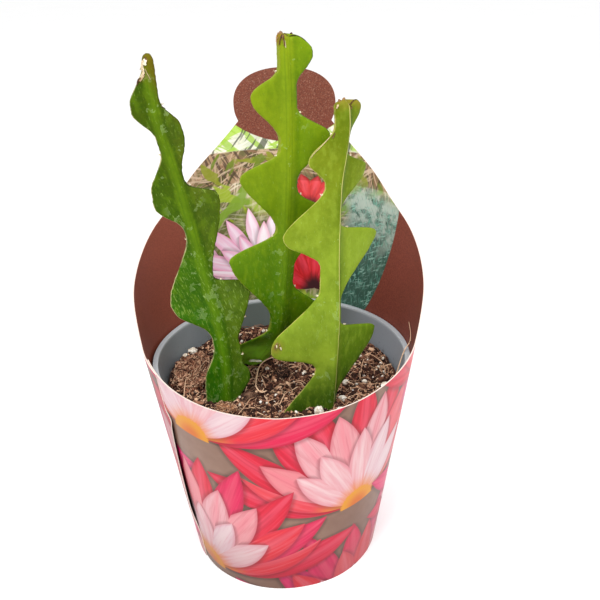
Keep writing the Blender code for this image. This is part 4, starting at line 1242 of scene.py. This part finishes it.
RIGHT_SCARS = [
    (0.70, 0.45, [(217.6, -3.2), (217.0, -3.0), (216.2, -3.4)]),
    (0.30, 0.40, [(218.2, 2.0), (217.0, 2.6), (215.6, 2.4), (214.6, 2.0)]),
    (0.10, 0.32, [(217.9, 3.4), (217.9, 5.2), (217.4, 7.2), (216.4, 8.6)]),
    (0.75, 0.20, [(206.6, -5.6), (205.0, -7.6), (203.4, -9.6), (201.8, -11.8), (200.2, -12.8)]),
    (0.30, 0.42, [(207.4, -4.2), (206.6, -4.6), (205.8, -5.2)]),
    (0.34, 0.40, [(127.4, -24.2), (126.6, -25.4), (125.4, -25.7), (124.2, -25.0)]),
    (0.42, 0.30, [(126.8, -24.0), (125.6, -23.8), (124.6, -24.4)]),
    (0.95, 0.50, [(126.7, -25.0), (126.0, -24.9), (125.3, -24.8)]),
    (0.95, 0.50, [(125.1, -23.4), (124.4, -23.2), (123.7, -23.0)]),
]
# Dried points of a torn tip: tint, half width and places (x, y, z), then how their width and depth run
TORN_WIDTHS, TORN_DEPTH = (0, 0.9, 1, 1, 0.95, 0.9, 0.8, 0.55, 0), 0.4
TORN_POINTS = {
    "left_stem": [],
    "middle_stem": [
        (0.34, 1.25, [(3.9, -5.4, 237.6), (3.8, -5.6, 240.2), (4.0, -5.4, 241.9)]),
        (0.46, 0.75, [(3.5, -5.0, 236.6), (3.2, -5.2, 239.0), (2.9, -5.2, 241.3)]),
        (0.14, 0.80, [(7.6, -5.2, 238.6), (7.8, -5.2, 240.0), (8.1, -5.2, 241.3)]),
    ],
    "right_stem": [
        (0.40, 0.80, [(26.9, -18.6, 216.2), (27.0, -18.6, 218.0), (27.3, -18.6, 219.3)]),
        (0.34, 0.70, [(25.6, -18.8, 216.2), (25.5, -18.8, 217.8), (25.3, -18.8, 218.7)]),
    ],
}
scar_finish = Finish("dry_scars", Roughness=0.85, Specular_IOR_Level=0.25)
scar_tone = scar_finish.tag("tint", 2) + (scar_finish.grain(1500, 3.0) - 0.5) * 0.35
scar_finish.wear(
    Base_Color=scar_finish.node("ValToRGB", {"stops": [
        (0.0, srgb(40, 30, 16)), (0.25, srgb(94, 62, 34)), (0.55, srgb(164, 130, 92)),
        (0.8, srgb(204, 184, 150)), (1.0, srgb(224, 216, 190))]}, scar_tone),
    Normal=scar_finish.emboss(scar_finish.grain(2200, 4.0), 0.15, 0.7))
luck = random.Random(41)
for name, stem, scars in (("left_stem", LEFT_STEM, LEFT_SCARS), ("middle_stem", MIDDLE_STEM, MIDDLE_SCARS),
                          ("right_stem", RIGHT_STEM, RIGHT_SCARS)):
    shapes, tints = [], []
    for tint, half_width, places in scars:
        for _ in range(SCAR_STRANDS):
            shift = [luck.uniform(-0.35, 0.35) * half_width for _ in range(2)]
            points = [on_skin(stem, height + shift[0], across + shift[1], 0.12 + luck.uniform(0, 0.22))
                      for height, across in places]
            shapes.append(strand(smooth_path(points, 9), half_width * luck.uniform(0.5, 0.9), 0.3))
            tints.append(tint + luck.uniform(-0.12, 0.12))
    for tint, half_width, places in TORN_POINTS[name]:
        widths = [half_width * width for width in TORN_WIDTHS]
        shapes.append([(middle, Vector((width, 0, 0)), Vector((0, width * TORN_DEPTH, 0)))
                       for middle, width in zip(smooth_path(places, 9), widths)])
        tints.append(tint)
    for index, wing in enumerate(stem["wings"]):
        azimuth = math.radians(wing["azimuth"])
        outward = Vector((math.cos(azimuth), math.sin(azimuth), 0.5))
        for lobe in wing["lobes"]:
            if not AREOLE_LEAST_HEIGHT <= lobe[3] <= stem["top"] - 2:
                continue
            notch = stem_point(stem, lobe[3] - 0.4, 0.25 + 0.5 * index)[0]
            for _ in range(AREOLE_WOOL):
                spot = notch + Vector([luck.uniform(-0.35, 0.35) for _ in range(3)]) + outward * 0.1
                rings = crumb(spot, (luck.uniform(0.14, 0.28),) * 3, outward, luck)
                shapes.append(nine_rings(rings))
                tints.append(luck.uniform(0.9, 1.2))
            for _ in range(AREOLE_BRISTLES):
                lean = outward + Vector([luck.uniform(-0.7, 0.7) for _ in range(3)])
                length = luck.uniform(0.6, 1.3)
                shapes.append(strand([notch + lean.normalized() * length * k / 8 for k in range(9)], 0.07))
                tints.append(luck.uniform(0.5, 0.9))
    marks = piece(name + "_scars", cluster(shapes, 5, tints), scar_finish)
    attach(marks, "root")
    name + "_skin"
